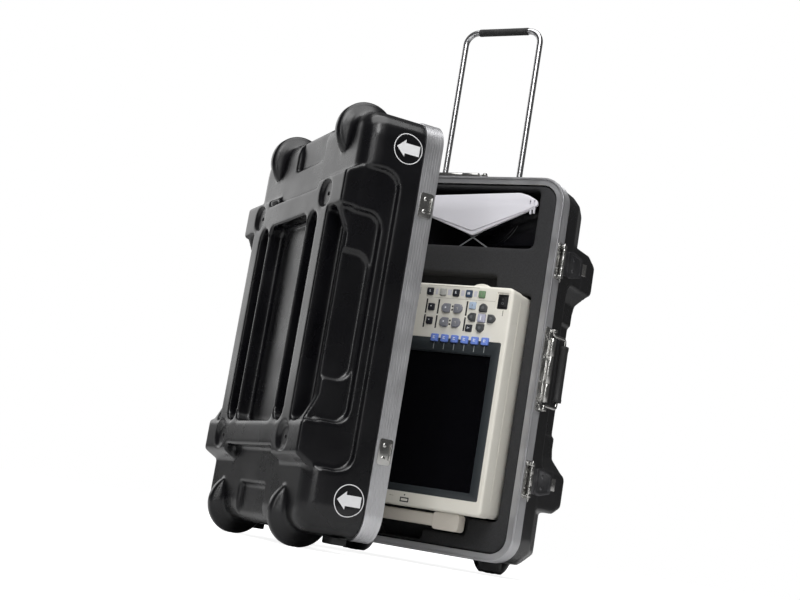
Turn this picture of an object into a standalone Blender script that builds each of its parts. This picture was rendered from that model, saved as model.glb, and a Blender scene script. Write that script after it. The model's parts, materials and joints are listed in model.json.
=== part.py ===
"""Portable ultrasound scanner packed in its wheeled, moulded transit case.

Metres, +Z up.  The case stands on its bumpers at Z = 0 with its lid ajar.  Pieces of the base are
laid out from the centre of the case's rim: X to the right, Y into the base, Z up.  Pieces of the
lid use the same layout in the lid's own frame, turned about the hinge line.
"""

import math

import bmesh
import bpy
from mathutils import Matrix, Vector

# ---- driving dimensions -------------------------------------------------------------------------
CASE_W = 0.434
CASE_H = 0.609
CORNER_R = 0.040
RIM_GAP = 0.0008
LIP_W = 0.0124
LIP_THICK = 0.0032
VALANCE_DEPTH = 0.0284
LID_DEPTH = 0.1393
BASE_DEPTH = 0.176
LID_OPEN = math.radians(36.0)
HINGE_X = -0.2216
GROUND_TO_CENTRE = 0.325
PLAN_CENTRE = (-0.02469, -0.09431)
GAP = 0.0003

# shell relief, measured from the rim centre and from the outermost level
SHELL_INSET = 0.0015
SHELL_CORNER = 0.039
RIM_ROUND = 0.028
LID_END_DROP = 0.0185
BASE_END_DROP = 0.0265
BAND = (0.1515, 0.204)
BAND_DRAFT = 0.010
LID_BAND_HALF_W = 0.207
BASE_BAND_HALF_W = 0.215
PLATEAU_HALF_W = 0.157
RECESS_HALF_W = 0.079
RECESS_DROP = 0.024
SLOT_X = (0.083, 0.122)
SLOT_DROP = 0.020
GUTTER_X = (0.157, 0.184)
GUTTER_DROP = 0.030
DIMPLE = (0.1395, 0.1767)
DIMPLE_R = 0.0205
DIMPLE_DROP = 0.0055
RAMP_X = (0.180, 0.1975)
RAMP_Z = (0.110, 0.170)
NOTCH_HALF_W = 0.1025
NOTCH_Z = 0.1915
SIDE_STEP_FROM = 0.0575
LID_CAVITY_DROP = 0.034
BASE_CAVITY_DROP = 0.042
TAPER_START = 0.070
TAPER_END_X = 0.189
TAPER_FROM_Z = 0.170
CORNER_DRAW = 0.018
SHOULDER_Z = (0.1250, 0.1530)

# corner bumpers and wheels
BUMP_R = 0.046
BUMP_Z = 0.279
BUMP_BACK = 0.047
BUMP_X = 0.1357
BUMP_HALF = 0.009
WHEEL_X = 0.1285
WHEEL_R = 0.044
WHEEL_HALF = 0.011
WHEEL_Y = 0.128
WELL_HALF = 0.021
WELL_SLOT_HALF = 0.014
WELL_R = 0.0475
AXLE_R = 0.004

# pull handle
PULL_X = 0.072
PULL_Y = 0.130
PULL_TOP = 0.610
PULL_BOTTOM = 0.150
PULL_CORNER = 0.023
PULL_R = 0.0052
GRIP_R = 0.0066
SLEEVE_R = 0.0080

# foam
FOAM_FRONT = 0.0018
FOAM_SPLIT = 0.0362
FOAM_STEP = 0.0535
FOAM_HALF_W = 0.2043
FOAM_DEEP_HALF_W = 0.1890
FOAM_HALF_H = 0.2917
BASE_FOAM_BACK = 0.112

# scanner, in the base's layout
SCAN_X = (-0.145, 0.182)
SCAN_Z = (-0.241, 0.1106)
SCAN_FRONT = -0.055
SCAN_SEAM = -0.020
SCAN_BACK = 0.034
SCAN_WALL = 0.003
FRAME_X = (-0.1363, 0.1733)
FRAME_Z = (-0.2194, 0.0239)
LCD_X = (-0.1212, 0.1586)
LCD_Z = (-0.208, 0.0017)
KEY_FRONT = -0.0585
KEY_BACK = -0.0465

STRAP_X = (-0.087, 0.124)
STRAP_CAP = 0.044

# hood, turned a little in its pocket
HOOD_AT = (0.0606, 0.0020, 0.2754)
HOOD_TILT = math.radians(3.0)
HOOD_DEPTH = 0.044

# carry handles and latches
BARREL_OUT = 0.0068
BARREL_R = 0.0050
BARREL_Y = 0.0230
BAIL_HALF = 0.055
BAIL_Y = 0.0580
BAIL_OUT = 0.0125
LATCH_Z = 0.172
STRIKE_Z = 0.177


# ---- collections and frames ---------------------------------------------------------------------
for old in list(bpy.data.objects):
    bpy.data.objects.remove(old, do_unlink=True)

parts = bpy.data.collections.new("ultrasound_scanner")
cutters = bpy.data.collections.new("cutters")
bpy.context.scene.collection.children.link(parts)
bpy.context.scene.collection.children.link(cutters)


def frame(name, parent=None, location=(0, 0, 0), turn_z=0.0):
    """An empty that other pieces are laid out from."""
    empty = bpy.data.objects.new(name, None)
    empty.location = location
    empty.rotation_euler = (0, 0, turn_z)
    empty.parent = parent
    parts.objects.link(empty)
    return empty


base = frame("base_frame", None, (-PLAN_CENTRE[0], -PLAN_CENTRE[1], GROUND_TO_CENTRE))
lid_hinge = frame("lid_hinge", base, (HINGE_X, 0, 0), -LID_OPEN)
lid = frame("lid_frame", lid_hinge, (-HINGE_X, 0, 0), math.pi)


# ---- materials ----------------------------------------------------------------------------------
def material(name, colour, roughness, metallic=0.0):
    mat = bpy.data.materials.new(name)
    mat.use_nodes = True
    shader = mat.node_tree.nodes["Principled BSDF"]
    shader.inputs["Base Color"].default_value = (*colour, 1.0)
    shader.inputs["Roughness"].default_value = roughness
    shader.inputs["Metallic"].default_value = metallic
    return mat


black_shell = material("black_shell", (0.008, 0.008, 0.010), 0.32)
aluminium = material("aluminium", (0.62, 0.62, 0.63), 0.35, 1.0)
chrome = material("chrome", (0.72, 0.70, 0.66), 0.15, 1.0)
steel = material("steel", (0.45, 0.45, 0.46), 0.35, 1.0)
grey_foam = material("grey_foam", (0.045, 0.045, 0.050), 0.95)
rubber = material("rubber", (0.012, 0.012, 0.012), 0.75)
beige = material("beige_plastic", (0.62, 0.57, 0.46), 0.45)
slate = material("slate_plastic", (0.10, 0.12, 0.17), 0.45)
screen = material("screen", (0.004, 0.004, 0.005), 0.12)
board_green = material("board_green", (0.03, 0.16, 0.06), 0.5)
black_plastic = material("black_plastic", (0.010, 0.010, 0.011), 0.4)
hood_grey = material("hood_grey", (0.66, 0.65, 0.70), 0.5)
blue_key = material("blue_key", (0.08, 0.20, 0.55), 0.45)
pale_blue_key = material("pale_blue_key", (0.32, 0.40, 0.55), 0.45)
grey_key = material("grey_key", (0.13, 0.13, 0.14), 0.5)
dark_key = material("dark_key", (0.02, 0.02, 0.03), 0.5)


# ---- solids -------------------------------------------------------------------------------------
AXES = {"x": 0, "y": 1, "z": 2}


def box(x, y, z, corner=0.0, along="y", steps=4, rim=0.0, rim_at=1, rim_steps=4):
    """A box between limits; its edges along one axis are rounded, then the edges of one end."""
    bm = bmesh.new()
    bmesh.ops.create_cube(bm, size=1.0)
    low = Vector((x[0], y[0], z[0]))
    high = Vector((x[1], y[1], z[1]))
    bmesh.ops.scale(bm, vec=high - low, verts=bm.verts)
    bmesh.ops.translate(bm, vec=(low + high) / 2, verts=bm.verts)
    axis = AXES[along]
    if corner:
        edges = [e for e in bm.edges if abs((e.verts[0].co - e.verts[1].co)[axis]) > 1e-6]
        bmesh.ops.bevel(bm, geom=edges, offset=corner, segments=steps, profile=0.5, affect="EDGES")
    if rim:
        level = (high if rim_at > 0 else low)[axis]
        edges = [e for e in bm.edges if all(abs(v.co[axis] - level) < 1e-6 for v in e.verts)]
        bmesh.ops.bevel(bm, geom=edges, offset=rim, segments=rim_steps, profile=0.5, affect="EDGES")
    return bm


def rod(radius, start, end, sides=20):
    """A round bar between two points."""
    bm = bmesh.new()
    run = Vector(end) - Vector(start)
    turn = Vector((0, 0, 1)).rotation_difference(run).to_matrix().to_4x4()
    place = Matrix.Translation((Vector(start) + Vector(end)) / 2) @ turn
    bmesh.ops.create_cone(bm, cap_ends=True, segments=sides, radius1=radius, radius2=radius,
                          depth=run.length, matrix=place)
    return bm


def slab(outline, y):
    """A plate with an outline in X and Z, counter-clockwise seen from the front, and limits in Y."""
    bm = bmesh.new()
    front = bm.faces.new([bm.verts.new((px, y[0], pz)) for px, pz in outline])
    grown = bmesh.ops.extrude_face_region(bm, geom=[front])
    moved = [g for g in grown["geom"] if isinstance(g, bmesh.types.BMVert)]
    bmesh.ops.translate(bm, vec=(0, y[1] - y[0], 0), verts=moved)
    bmesh.ops.recalc_face_normals(bm, faces=bm.faces)
    return bm


def wedge(outline, x):
    """A bar along X with an outline in Z and Y."""
    bm = bmesh.new()
    side = bm.faces.new([bm.verts.new((x[0], py, pz)) for pz, py in outline])
    grown = bmesh.ops.extrude_face_region(bm, geom=[side])
    moved = [g for g in grown["geom"] if isinstance(g, bmesh.types.BMVert)]
    bmesh.ops.translate(bm, vec=(x[1] - x[0], 0, 0), verts=moved)
    bmesh.ops.recalc_face_normals(bm, faces=bm.faces)
    return bm


def arc(centre, radius, start, end, steps):
    """Points along an arc in degrees, both ends included."""
    points = []
    for i in range(steps + 1):
        angle = math.radians(start + (end - start) * i / steps)
        points.append((centre[0] + radius * math.cos(angle), centre[1] + radius * math.sin(angle)))
    return points


def add(name, bm, mat, parent, origin=(0, 0, 0), collection=parts, smooth=False):
    """Turn a bmesh in its parent's layout into an object whose origin is at the given point."""
    bmesh.ops.translate(bm, vec=-Vector(origin), verts=bm.verts)
    mesh = bpy.data.meshes.new(name)
    bm.to_mesh(mesh)
    bm.free()
    obj = bpy.data.objects.new(name, mesh)
    obj.location = origin
    obj.parent = parent
    if mat:
        mesh.materials.append(mat)
    if smooth:
        mesh.shade_smooth()
        mesh.set_sharp_from_angle(angle=math.radians(35))
    collection.objects.link(obj)
    if collection is cutters:
        obj.hide_render = True
        obj.display_type = "WIRE"
    return obj


def combine(obj, bm, operation):
    """Join or cut a piece with a guide shape drawn in the layout of the piece's parent."""
    guide = add(f"{obj.name}_{operation.lower()}_{len(obj.modifiers)}", bm, None, obj.parent,
                collection=cutters)
    boolean = obj.modifiers.new(guide.name, "BOOLEAN")
    boolean.operation = operation
    boolean.object = guide
    return guide


def join(obj, bm):
    return combine(obj, bm, "UNION")


def cut(obj, bm):
    return combine(obj, bm, "DIFFERENCE")


def turned(name, profile, mat, parent, location, steps=24, collection=parts):
    """A profile of (radius, height) pairs, top to bottom, turned about the X axis."""
    bm = bmesh.new()
    closed = profile[0] == profile[-1]
    points = [bm.verts.new((radius, 0, height)) for radius, height in profile[:-1 if closed else None]]
    for first, second in zip(points, points[1:]):
        bm.edges.new((first, second))
    if closed:
        bm.edges.new((points[-1], points[0]))
    obj = add(name, bm, mat, parent, collection=collection)
    obj.location = location
    obj.rotation_euler = (0, math.pi / 2, 0)
    screw = obj.modifiers.new("turn", "SCREW")
    screw.steps = steps
    screw.render_steps = steps
    screw.use_merge_vertices = True
    screw.merge_threshold = 0.0001
    return obj


def tube(name, points, radius, mat, parent, origin, resolution=3):
    """A round bar along a line of points."""
    curve = bpy.data.curves.new(name, "CURVE")
    curve.dimensions = "3D"
    curve.bevel_depth = radius
    curve.bevel_resolution = resolution
    curve.use_fill_caps = True
    spline = curve.splines.new("POLY")
    spline.points.add(len(points) - 1)
    for point, place in zip(spline.points, points):
        point.co = (*(Vector(place) - Vector(origin)), 1.0)
    curve.materials.append(mat)
    obj = bpy.data.objects.new(name, curve)
    obj.location = origin
    obj.parent = parent
    parts.objects.link(obj)
    return obj


# ---- the two moulded shells ---------------------------------------------------------------------
def bump_profile(radius, half):
    """A thin disc that flares out towards its axis, as (radius, height) from top to bottom."""
    upper = [(0, half + 0.0195), (radius - 0.026, half + 0.0195), (radius - 0.016, half + 0.007),
             (radius - 0.006, half + 0.001), (radius - 0.002, half - 0.001), (radius, half - 0.004)]
    return upper + [(r, -h) for r, h in reversed(upper)]


def bumper(shell, x, z, radius, half, depth):
    guide = turned(f"{shell.name}_bumper_{len(shell.modifiers)}", bump_profile(radius, half), None,
                   shell.parent, (x, depth - BUMP_BACK, z), collection=cutters)
    boolean = shell.modifiers.new(guide.name, "BOOLEAN")
    boolean.operation = "UNION"
    boolean.object = guide


def band(shell, side, half_w, depth, end_level):
    """A cross band with a draft on its outer flank and ramps down to the ridges on its inner one."""
    foot = end_level - 0.004
    near = side * BAND[0]
    far = side * BAND[1]
    outline = [(near, 0.060), (near, depth - 0.004), (near + side * 0.004, depth),
               (far - side * 0.004, depth), (far, depth - 0.005), (far + side * BAND_DRAFT, foot),
               (far + side * BAND_DRAFT, 0.060)]
    join(shell, wedge(outline, (-half_w, half_w)))
    top = depth - 0.004
    ramp = [(side * RAMP_Z[0], foot), (near, top), (side * RAMP_Z[1], top), (side * RAMP_Z[1], foot)]
    for other in (-1, 1):
        join(shell, wedge(ramp, sorted((other * RAMP_X[0], other * RAMP_X[1]))))


def loft(near, far):
    """A solid between two four-cornered ends, whose corners are given in the same order."""
    bm = bmesh.new()
    rings = [[bm.verts.new(corner) for corner in end] for end in (near, far)]
    for ring in rings:
        bm.faces.new(ring)
    for i in range(4):
        bm.faces.new((rings[0][i], rings[0][i - 1], rings[1][i - 1], rings[1][i]))
    bmesh.ops.recalc_face_normals(bm, faces=bm.faces)
    return bm


def taper(shell, side, end, half_w, depth):
    """The back edge and the back corner of the base draw in towards its end."""
    outline = [(half_w + 0.0002, TAPER_START), (half_w + 0.02, TAPER_START), (half_w + 0.02, depth),
               (TAPER_END_X, depth)]
    ends = [[(side * px, py, end * z) for px, py in outline] for z in (TAPER_FROM_Z, CASE_H / 2 + 0.02)]
    cut(shell, loft(*ends))
    centre = (half_w - SHELL_CORNER, CASE_H / 2 - SHELL_INSET - SHELL_CORNER)
    levels = []
    for y, inset in ((TAPER_START, 0.0), (depth, CORNER_DRAW)):
        reach = SHELL_CORNER + 0.0002 - inset
        levels.append([(side * (centre[0] + (a * out + b * 0.06) * math.sqrt(0.5)), y,
                        end * (centre[1] + (a * out - b * 0.06) * math.sqrt(0.5)))
                       for a, b, out in ((1, -1, reach), (1, 1, reach), (1, 1, 0.09), (1, -1, 0.09))])
    cut(shell, loft(*levels))


def shoulder(shell, side, end, half_w, depth, end_level):
    """The end of a base band runs down to the side wall in a slope."""
    near_z, far_z = SHOULDER_Z
    near = [(side * 0.184, 0.060), (side * 0.1990, 0.060), (side * 0.1990, end_level - 0.005),
            (side * 0.184, end_level - 0.005)]
    far = [(side * 0.184, 0.060), (side * half_w, 0.060), (side * half_w, depth - 0.004),
           (side * 0.184, depth - 0.004)]
    join(shell, loft([(x, y, end * near_z) for x, y in near], [(x, y, end * far_z) for x, y in far]))


def moulded_shell(name, parent, depth, end_drop, band_half_w, low_bumpers, tapered):
    """One half of the case: a deep tray with bands, ribs, gutters and round corner bumpers."""
    half_w = CASE_W / 2 - SHELL_INSET
    half_h = CASE_H / 2 - SHELL_INSET
    end_level = depth - end_drop
    deeper = end_drop - LID_END_DROP
    body = box((-half_w, half_w), (VALANCE_DEPTH + GAP, end_level), (-half_h, half_h),
               SHELL_CORNER, rim=RIM_ROUND)
    shell = add(name, body, black_shell, parent, smooth=True)
    neck_w = half_w - 0.0025
    neck_h = half_h - 0.0025
    neck = box((-neck_w, neck_w), (RIM_GAP + LIP_THICK + GAP, 0.040), (-neck_h, neck_h), 0.0365)
    join(shell, neck)
    if tapered:
        for side in (-1, 1):
            for end in (-1, 1):
                taper(shell, side, end, half_w, end_level + 0.0004)
    for side in (-1, 1):
        band(shell, side, band_half_w, depth, end_level)
    plateau = box((-PLATEAU_HALF_W, PLATEAU_HALF_W), (0.061, depth - 0.0004),
                  (-BAND[0] - 0.012, BAND[0] + 0.012))
    join(shell, plateau)
    for side in (-1, 1):
        bumper(shell, side * BUMP_X, BUMP_Z, BUMP_R, BUMP_HALF, depth)
        x, half = low_bumpers
        bumper(shell, side * x, -BUMP_Z, BUMP_R, half, depth)

    above = depth + 0.02
    recess = (depth - RECESS_DROP - deeper, above)
    cut(shell, box((-RECESS_HALF_W, RECESS_HALF_W), recess, (-0.154, 0.154), 0.014))
    for side in (-1, 1):
        slot_x = sorted((side * SLOT_X[0], side * SLOT_X[1]))
        cut(shell, box(slot_x, (depth - SLOT_DROP - deeper, above), (-0.154, 0.154), 0.0192))
        gutter_x = sorted((side * GUTTER_X[0], side * GUTTER_X[1]))
        cut(shell, box(gutter_x, (depth - GUTTER_DROP - deeper, above), (-0.154, 0.154), 0.0125))
        notch_z = sorted((side * NOTCH_Z, side * (BAND[1] + BAND_DRAFT + 0.003)))
        cut(shell, box((-NOTCH_HALF_W, NOTCH_HALF_W), (end_level + 0.0003, above), notch_z))
        end_z = sorted((side * 0.246, side * (half_h + 0.01)))
        cut(shell, box((-0.056, 0.056), (end_level - 0.007, above), end_z))
        for other in (-1, 1):
            x = side * DIMPLE[0]
            z = other * DIMPLE[1]
            cut(shell, rod(DIMPLE_R, (x, depth - DIMPLE_DROP, z), (x, above, z)))
        far = half_w + 0.01
        steps = [(0.1985, 0.0725, 0.1495, 0.02), (0.1935, 0.0775, 0.0920, 0.02)]
        if not tapered:
            steps = [(band_half_w + 0.0006, SIDE_STEP_FROM, 0.214, 0.025), *steps]
        for limit, start, half_z, round_by in steps:
            step_x = sorted((side * limit, side * far))
            cut(shell, box(step_x, (start, above + 0.05), (-half_z, half_z), round_by, along="x"))
    if tapered:
        for side in (-1, 1):
            for end in (-1, 1):
                shoulder(shell, side, end, band_half_w - 0.0004, depth, end_level)
    return shell


def hollow(shell, depth, drop, wells):
    """The room inside the shell: wide behind the rim, narrower past the side steps."""
    mouth = box((-0.207, 0.207), (-0.01, 0.054), (-0.2945, 0.2945), 0.034)
    cut(shell, mouth)
    room = cut(shell, box((-0.1895, 0.1895), (0.03, depth - drop), (-0.2945, 0.2945), 0.030))
    for side in (-1, 1):
        band_z = sorted((side * (BAND[0] + 0.005), side * (NOTCH_Z - 0.004)))
        pocket = box((-0.188, 0.188), (0.10, depth - DIMPLE_DROP - 0.005), band_z)
        cut(shell, pocket)
        if wells:
            x = sorted((side * (WHEEL_X - WELL_HALF), side * (WHEEL_X + WELL_HALF)))
            block = add(f"well_block_{side}", box(x, (0.0755, depth), (-0.32, -0.2265)), None,
                        shell.parent, collection=cutters)
            keep = room.modifiers.new(block.name, "BOOLEAN")
            keep.operation = "DIFFERENCE"
            keep.object = block


def base_shell():
    shell = moulded_shell("base_shell", base, BASE_DEPTH, BASE_END_DROP, BASE_BAND_HALF_W,
                          (WHEEL_X, WELL_HALF - 0.0035), tapered=True)
    hollow(shell, BASE_DEPTH, BASE_CAVITY_DROP, wells=True)
    for side in (-1, 1):
        inner = side * (WHEEL_X - WELL_SLOT_HALF)
        outer = side * (WHEEL_X + WELL_SLOT_HALF)
        cut(shell, rod(WELL_R, (inner, WHEEL_Y, -BUMP_Z), (outer, WHEEL_Y, -BUMP_Z), 28))
        channel_x = sorted((side * (PULL_X - 0.0105), side * (PULL_X + 0.0105)))
        cut(shell, box(channel_x, (0.12, PULL_Y + 0.0105), (-0.160, 0.29)))
        x = side * PULL_X
        cut(shell, rod(SLEEVE_R + 0.0006, (x, PULL_Y, 0.27), (x, PULL_Y, 0.34)))
    cut(shell, rod(AXLE_R + GAP, (-0.157, WHEEL_Y, -BUMP_Z), (0.157, WHEEL_Y, -BUMP_Z), 16))
    return shell


def lid_shell():
    shell = moulded_shell("lid_shell", lid, LID_DEPTH, LID_END_DROP, LID_BAND_HALF_W,
                          (BUMP_X, BUMP_HALF), tapered=False)
    hollow(shell, LID_DEPTH, LID_CAVITY_DROP, wells=False)
    return shell


# ---- valances, the aluminium edges of both halves -----------------------------------------------
def valance(name, parent):
    half_w = CASE_W / 2
    half_h = CASE_H / 2
    body = box((-half_w, half_w), (RIM_GAP, VALANCE_DEPTH), (-half_h, half_h), CORNER_R, steps=6)
    ring = add(name, body, aluminium, parent, smooth=True)
    in_w = half_w - LIP_W
    in_h = half_h - LIP_W
    cut(ring, box((-in_w, in_w), (-0.01, 0.06), (-in_h, in_h), CORNER_R - LIP_W, steps=6))
    in_w = half_w - 0.0037
    in_h = half_h - 0.0037
    behind_lip = (RIM_GAP + LIP_THICK, 0.06)
    cut(ring, box((-in_w, in_w), behind_lip, (-in_h, in_h), CORNER_R - 0.0037, steps=6))
    return ring


def ring_shape(outer_inset, width, y):
    """A rounded rectangular band inside the rim, as a closed ring."""
    bm = box((-CASE_W / 2 + outer_inset, CASE_W / 2 - outer_inset), y,
             (-CASE_H / 2 + outer_inset, CASE_H / 2 - outer_inset), CORNER_R - outer_inset, steps=6)
    caps = [f for f in bm.faces if abs(f.normal.y) > 0.9]
    bmesh.ops.inset_region(bm, faces=caps, thickness=width, use_even_offset=True)
    bmesh.ops.delete(bm, geom=caps, context="FACES_ONLY")
    loops = [e for e in bm.edges if e.is_boundary]
    bmesh.ops.bridge_loops(bm, edges=loops)
    bmesh.ops.recalc_face_normals(bm, faces=bm.faces)
    return bm


def valances():
    ring = valance("base_valance", base)
    join(ring, ring_shape(0.0012, 0.0026, (RIM_GAP - 0.0024, RIM_GAP + 0.001)))
    ring = valance("lid_valance", lid)
    cut(ring, ring_shape(0.0006, 0.0038, (RIM_GAP - 0.01, RIM_GAP + 0.0021)))


# ---- foam ---------------------------------------------------------------------------------------
def foam_plate(name, parent, y):
    """The wide part of an insert, behind the rim."""
    front = box((-FOAM_HALF_W, FOAM_HALF_W), y, (-FOAM_HALF_H, FOAM_HALF_H), CORNER_R - LIP_W - GAP)
    return add(name, front, grey_foam, parent)


def deep_foam(foam, back):
    """The narrower part that follows, past the side steps of the shell."""
    join(foam, box((-FOAM_DEEP_HALF_W, FOAM_DEEP_HALF_W), (FOAM_STEP - 0.01, back),
                   (-FOAM_HALF_H, FOAM_HALF_H), 0.0265))


def base_foam():
    """Two layers: a front one cut right through for the contents, and a back one below it."""
    front = foam_plate("base_foam_front", base, (FOAM_FRONT, FOAM_SPLIT))
    fit = 0.0018
    through = (-0.01, 0.06)
    cut(front, box((SCAN_X[0] - fit, SCAN_X[1] + fit), through, (SCAN_Z[0] - fit, SCAN_Z[1] + fit), 0.004))
    cut(front, box((-0.096, 0.133), through, (-0.2700, SCAN_Z[0] + 0.01), 0.003))
    cut(front, box((-0.085, 0.122), through, (SCAN_Z[1] - 0.01, 0.141), 0.006))
    cut(front, box((-0.023, 0.060), through, (-0.2860, -0.255), 0.005))
    back = foam_plate("base_foam_back", base, (FOAM_SPLIT + GAP, FOAM_STEP))
    deep_foam(back, BASE_FOAM_BACK)
    for layer in (front, back):
        cut(layer, box((-0.058, 0.1745), (-0.01, 0.062), (0.1878, 0.2845), 0.008))
        cut(layer, box((-0.194, -0.158), (-0.01, 0.050), (-0.200, 0.141), 0.010))
    for side in (-1, 1):
        x = sorted((side * (WHEEL_X - WELL_HALF - 0.001), side * (WHEEL_X + WELL_HALF + 0.001)))
        cut(back, box(x, (0.0745, 0.2), (-0.33, -0.2255)))


def lid_foam():
    foam = foam_plate("lid_foam", lid, (FOAM_FRONT, FOAM_STEP))
    deep_foam(foam, LID_DEPTH - LID_CAVITY_DROP - 0.0008)
    cut(foam, box((-SCAN_X[1] - 0.010, -SCAN_X[0] + 0.012), (-0.01, 0.066),
                  (SCAN_Z[0] - 0.035, SCAN_Z[1] + 0.010), 0.010))


# ---- wheels, feet and pull handle ---------------------------------------------------------------
def wheels():
    profile = [(AXLE_R + GAP, WHEEL_HALF), (0.013, WHEEL_HALF), (0.016, WHEEL_HALF - 0.003),
               (0.031, WHEEL_HALF - 0.003), (0.034, WHEEL_HALF), (WHEEL_R - 0.003, WHEEL_HALF),
               (WHEEL_R, WHEEL_HALF - 0.003)]
    profile = profile + [(r, -h) for r, h in reversed(profile)] + [(AXLE_R + GAP, WHEEL_HALF)]
    for name, side in (("wheel_left", -1), ("wheel_right", 1)):
        turned(name, profile, rubber, base, (side * WHEEL_X, WHEEL_Y, -BUMP_Z), steps=26)
    add("wheel_axle", rod(AXLE_R, (-0.1565, WHEEL_Y, -BUMP_Z), (0.1565, WHEEL_Y, -BUMP_Z), 14),
        steel, base, smooth=True)


def feet():
    half_h = CASE_H / 2
    for side, word in ((-1, "left"), (1, "right")):
        x = (side * 0.167 - 0.018, side * 0.167 + 0.018)
        top = -half_h + SHELL_INSET - GAP
        add(f"base_foot_{word}", box(x, (0.031, 0.047), (-0.3180, top), 0.004, along="z",
                                     rim=0.002, rim_at=-1, steps=2, rim_steps=2), rubber, base)
        x = (-side * 0.167 - 0.018, -side * 0.167 + 0.018)
        add(f"lid_foot_{word}", box(x, (0.034, 0.058), (-0.3130, top), 0.004, along="z",
                                    rim=0.002, rim_at=-1, steps=2, rim_steps=2), rubber, lid)


def handle_guide():
    guide = add("handle_guide", rod(SLEEVE_R, (-PULL_X, PULL_Y, -0.150), (-PULL_X, PULL_Y, 0.3035), 18),
                black_plastic, base, smooth=True)
    join(guide, rod(SLEEVE_R, (PULL_X, PULL_Y, -0.150), (PULL_X, PULL_Y, 0.3035), 18))
    for z in (-0.140, 0.060, 0.255):
        join(guide, box((-PULL_X, PULL_X), (PULL_Y - 0.006, PULL_Y + 0.0035), (z - 0.012, z + 0.012)))
    for side in (-1, 1):
        x = side * PULL_X
        cut(guide, rod(PULL_R + 0.0006, (x, PULL_Y, -0.145), (x, PULL_Y, 0.32), 18))


def pull_handle():
    left = arc((-PULL_X + PULL_CORNER, PULL_TOP - PULL_CORNER), PULL_CORNER, 180, 90, 7)
    right = arc((PULL_X - PULL_CORNER, PULL_TOP - PULL_CORNER), PULL_CORNER, 90, 0, 7)
    line = [(-PULL_X, PULL_BOTTOM), *left, *right, (PULL_X, PULL_BOTTOM)]
    top = (0, PULL_Y, PULL_TOP)
    tube("pull_tube", [(x, PULL_Y, z) for x, z in line], PULL_R, aluminium, base, top, 3)
    reach = PULL_X - PULL_CORNER - 0.002
    grip = add("pull_grip", rod(GRIP_R, (-reach, PULL_Y, PULL_TOP), (reach, PULL_Y, PULL_TOP), 18),
               rubber, base, top, smooth=True)
    cut(grip, rod(PULL_R + GAP, (-reach - 0.01, PULL_Y, PULL_TOP), (reach + 0.01, PULL_Y, PULL_TOP), 18))


# ---- carry handles ------------------------------------------------------------------------------
def wall_frame(name, on_top):
    """A frame whose X points away from the wall, Y into the base and Z along the handle."""
    if on_top:
        empty = frame(name, base, (0, 0, CASE_H / 2 + GAP))
        empty.rotation_euler = (0, -math.pi / 2, 0)
        return empty
    return frame(name, base, (CASE_W / 2 + GAP, 0, 0))


def carry_handle(prefix, on_top):
    """A riveted plate with a hinge barrel, a bent wire bail in it and a moulded grip on the bail."""
    wall = wall_frame(f"{prefix}_wall", on_top)
    plate = add(f"{prefix}_plate", box((0, 0.0015), (0.0035, 0.0275), (-0.066, 0.066)), chrome, wall)
    join(plate, rod(BARREL_R, (BARREL_OUT, BARREL_Y, -0.064), (BARREL_OUT, BARREL_Y, 0.064), 14))
    join(plate, box((0.0010, BARREL_OUT), (BARREL_Y - 0.0048, BARREL_Y - 0.002), (-0.064, 0.064)))
    cut(plate, rod(0.0030, (BARREL_OUT, BARREL_Y, -0.08), (BARREL_OUT, BARREL_Y, 0.08), 14))
    axis = (BARREL_OUT, BARREL_Y, 0)
    for side in (-1, 1):
        z = sorted((side * (BAIL_HALF - 0.005), side * (BAIL_HALF + 0.0045)))
        cut(plate, box((0.0018, 0.03), (BARREL_Y - 0.008, BARREL_Y + 0.008), z))
    line = [(BARREL_OUT, BARREL_Y, 0.062), (BARREL_OUT, BARREL_Y, BAIL_HALF),
            (BAIL_OUT - 0.002, BAIL_Y - 0.014, BAIL_HALF), (BAIL_OUT, BAIL_Y - 0.004, BAIL_HALF - 0.003),
            (BAIL_OUT, BAIL_Y, BAIL_HALF - 0.009)]
    mirrored = [(x, y, -z) for x, y, z in reversed(line)]
    tube(f"{prefix}_bail", line + mirrored, 0.0026, chrome, wall, axis, 2)
    grip = add(f"{prefix}_grip", box((BAIL_OUT - 0.0062, BAIL_OUT + 0.0062),
                                     (BAIL_Y - 0.0082, BAIL_Y + 0.0082), (-0.0445, 0.0445), 0.005,
                                     along="z", steps=3), rubber, wall, axis, smooth=True)
    cut(grip, rod(0.0029, (BAIL_OUT, BAIL_Y, -0.06), (BAIL_OUT, BAIL_Y, 0.06), 14))


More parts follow.
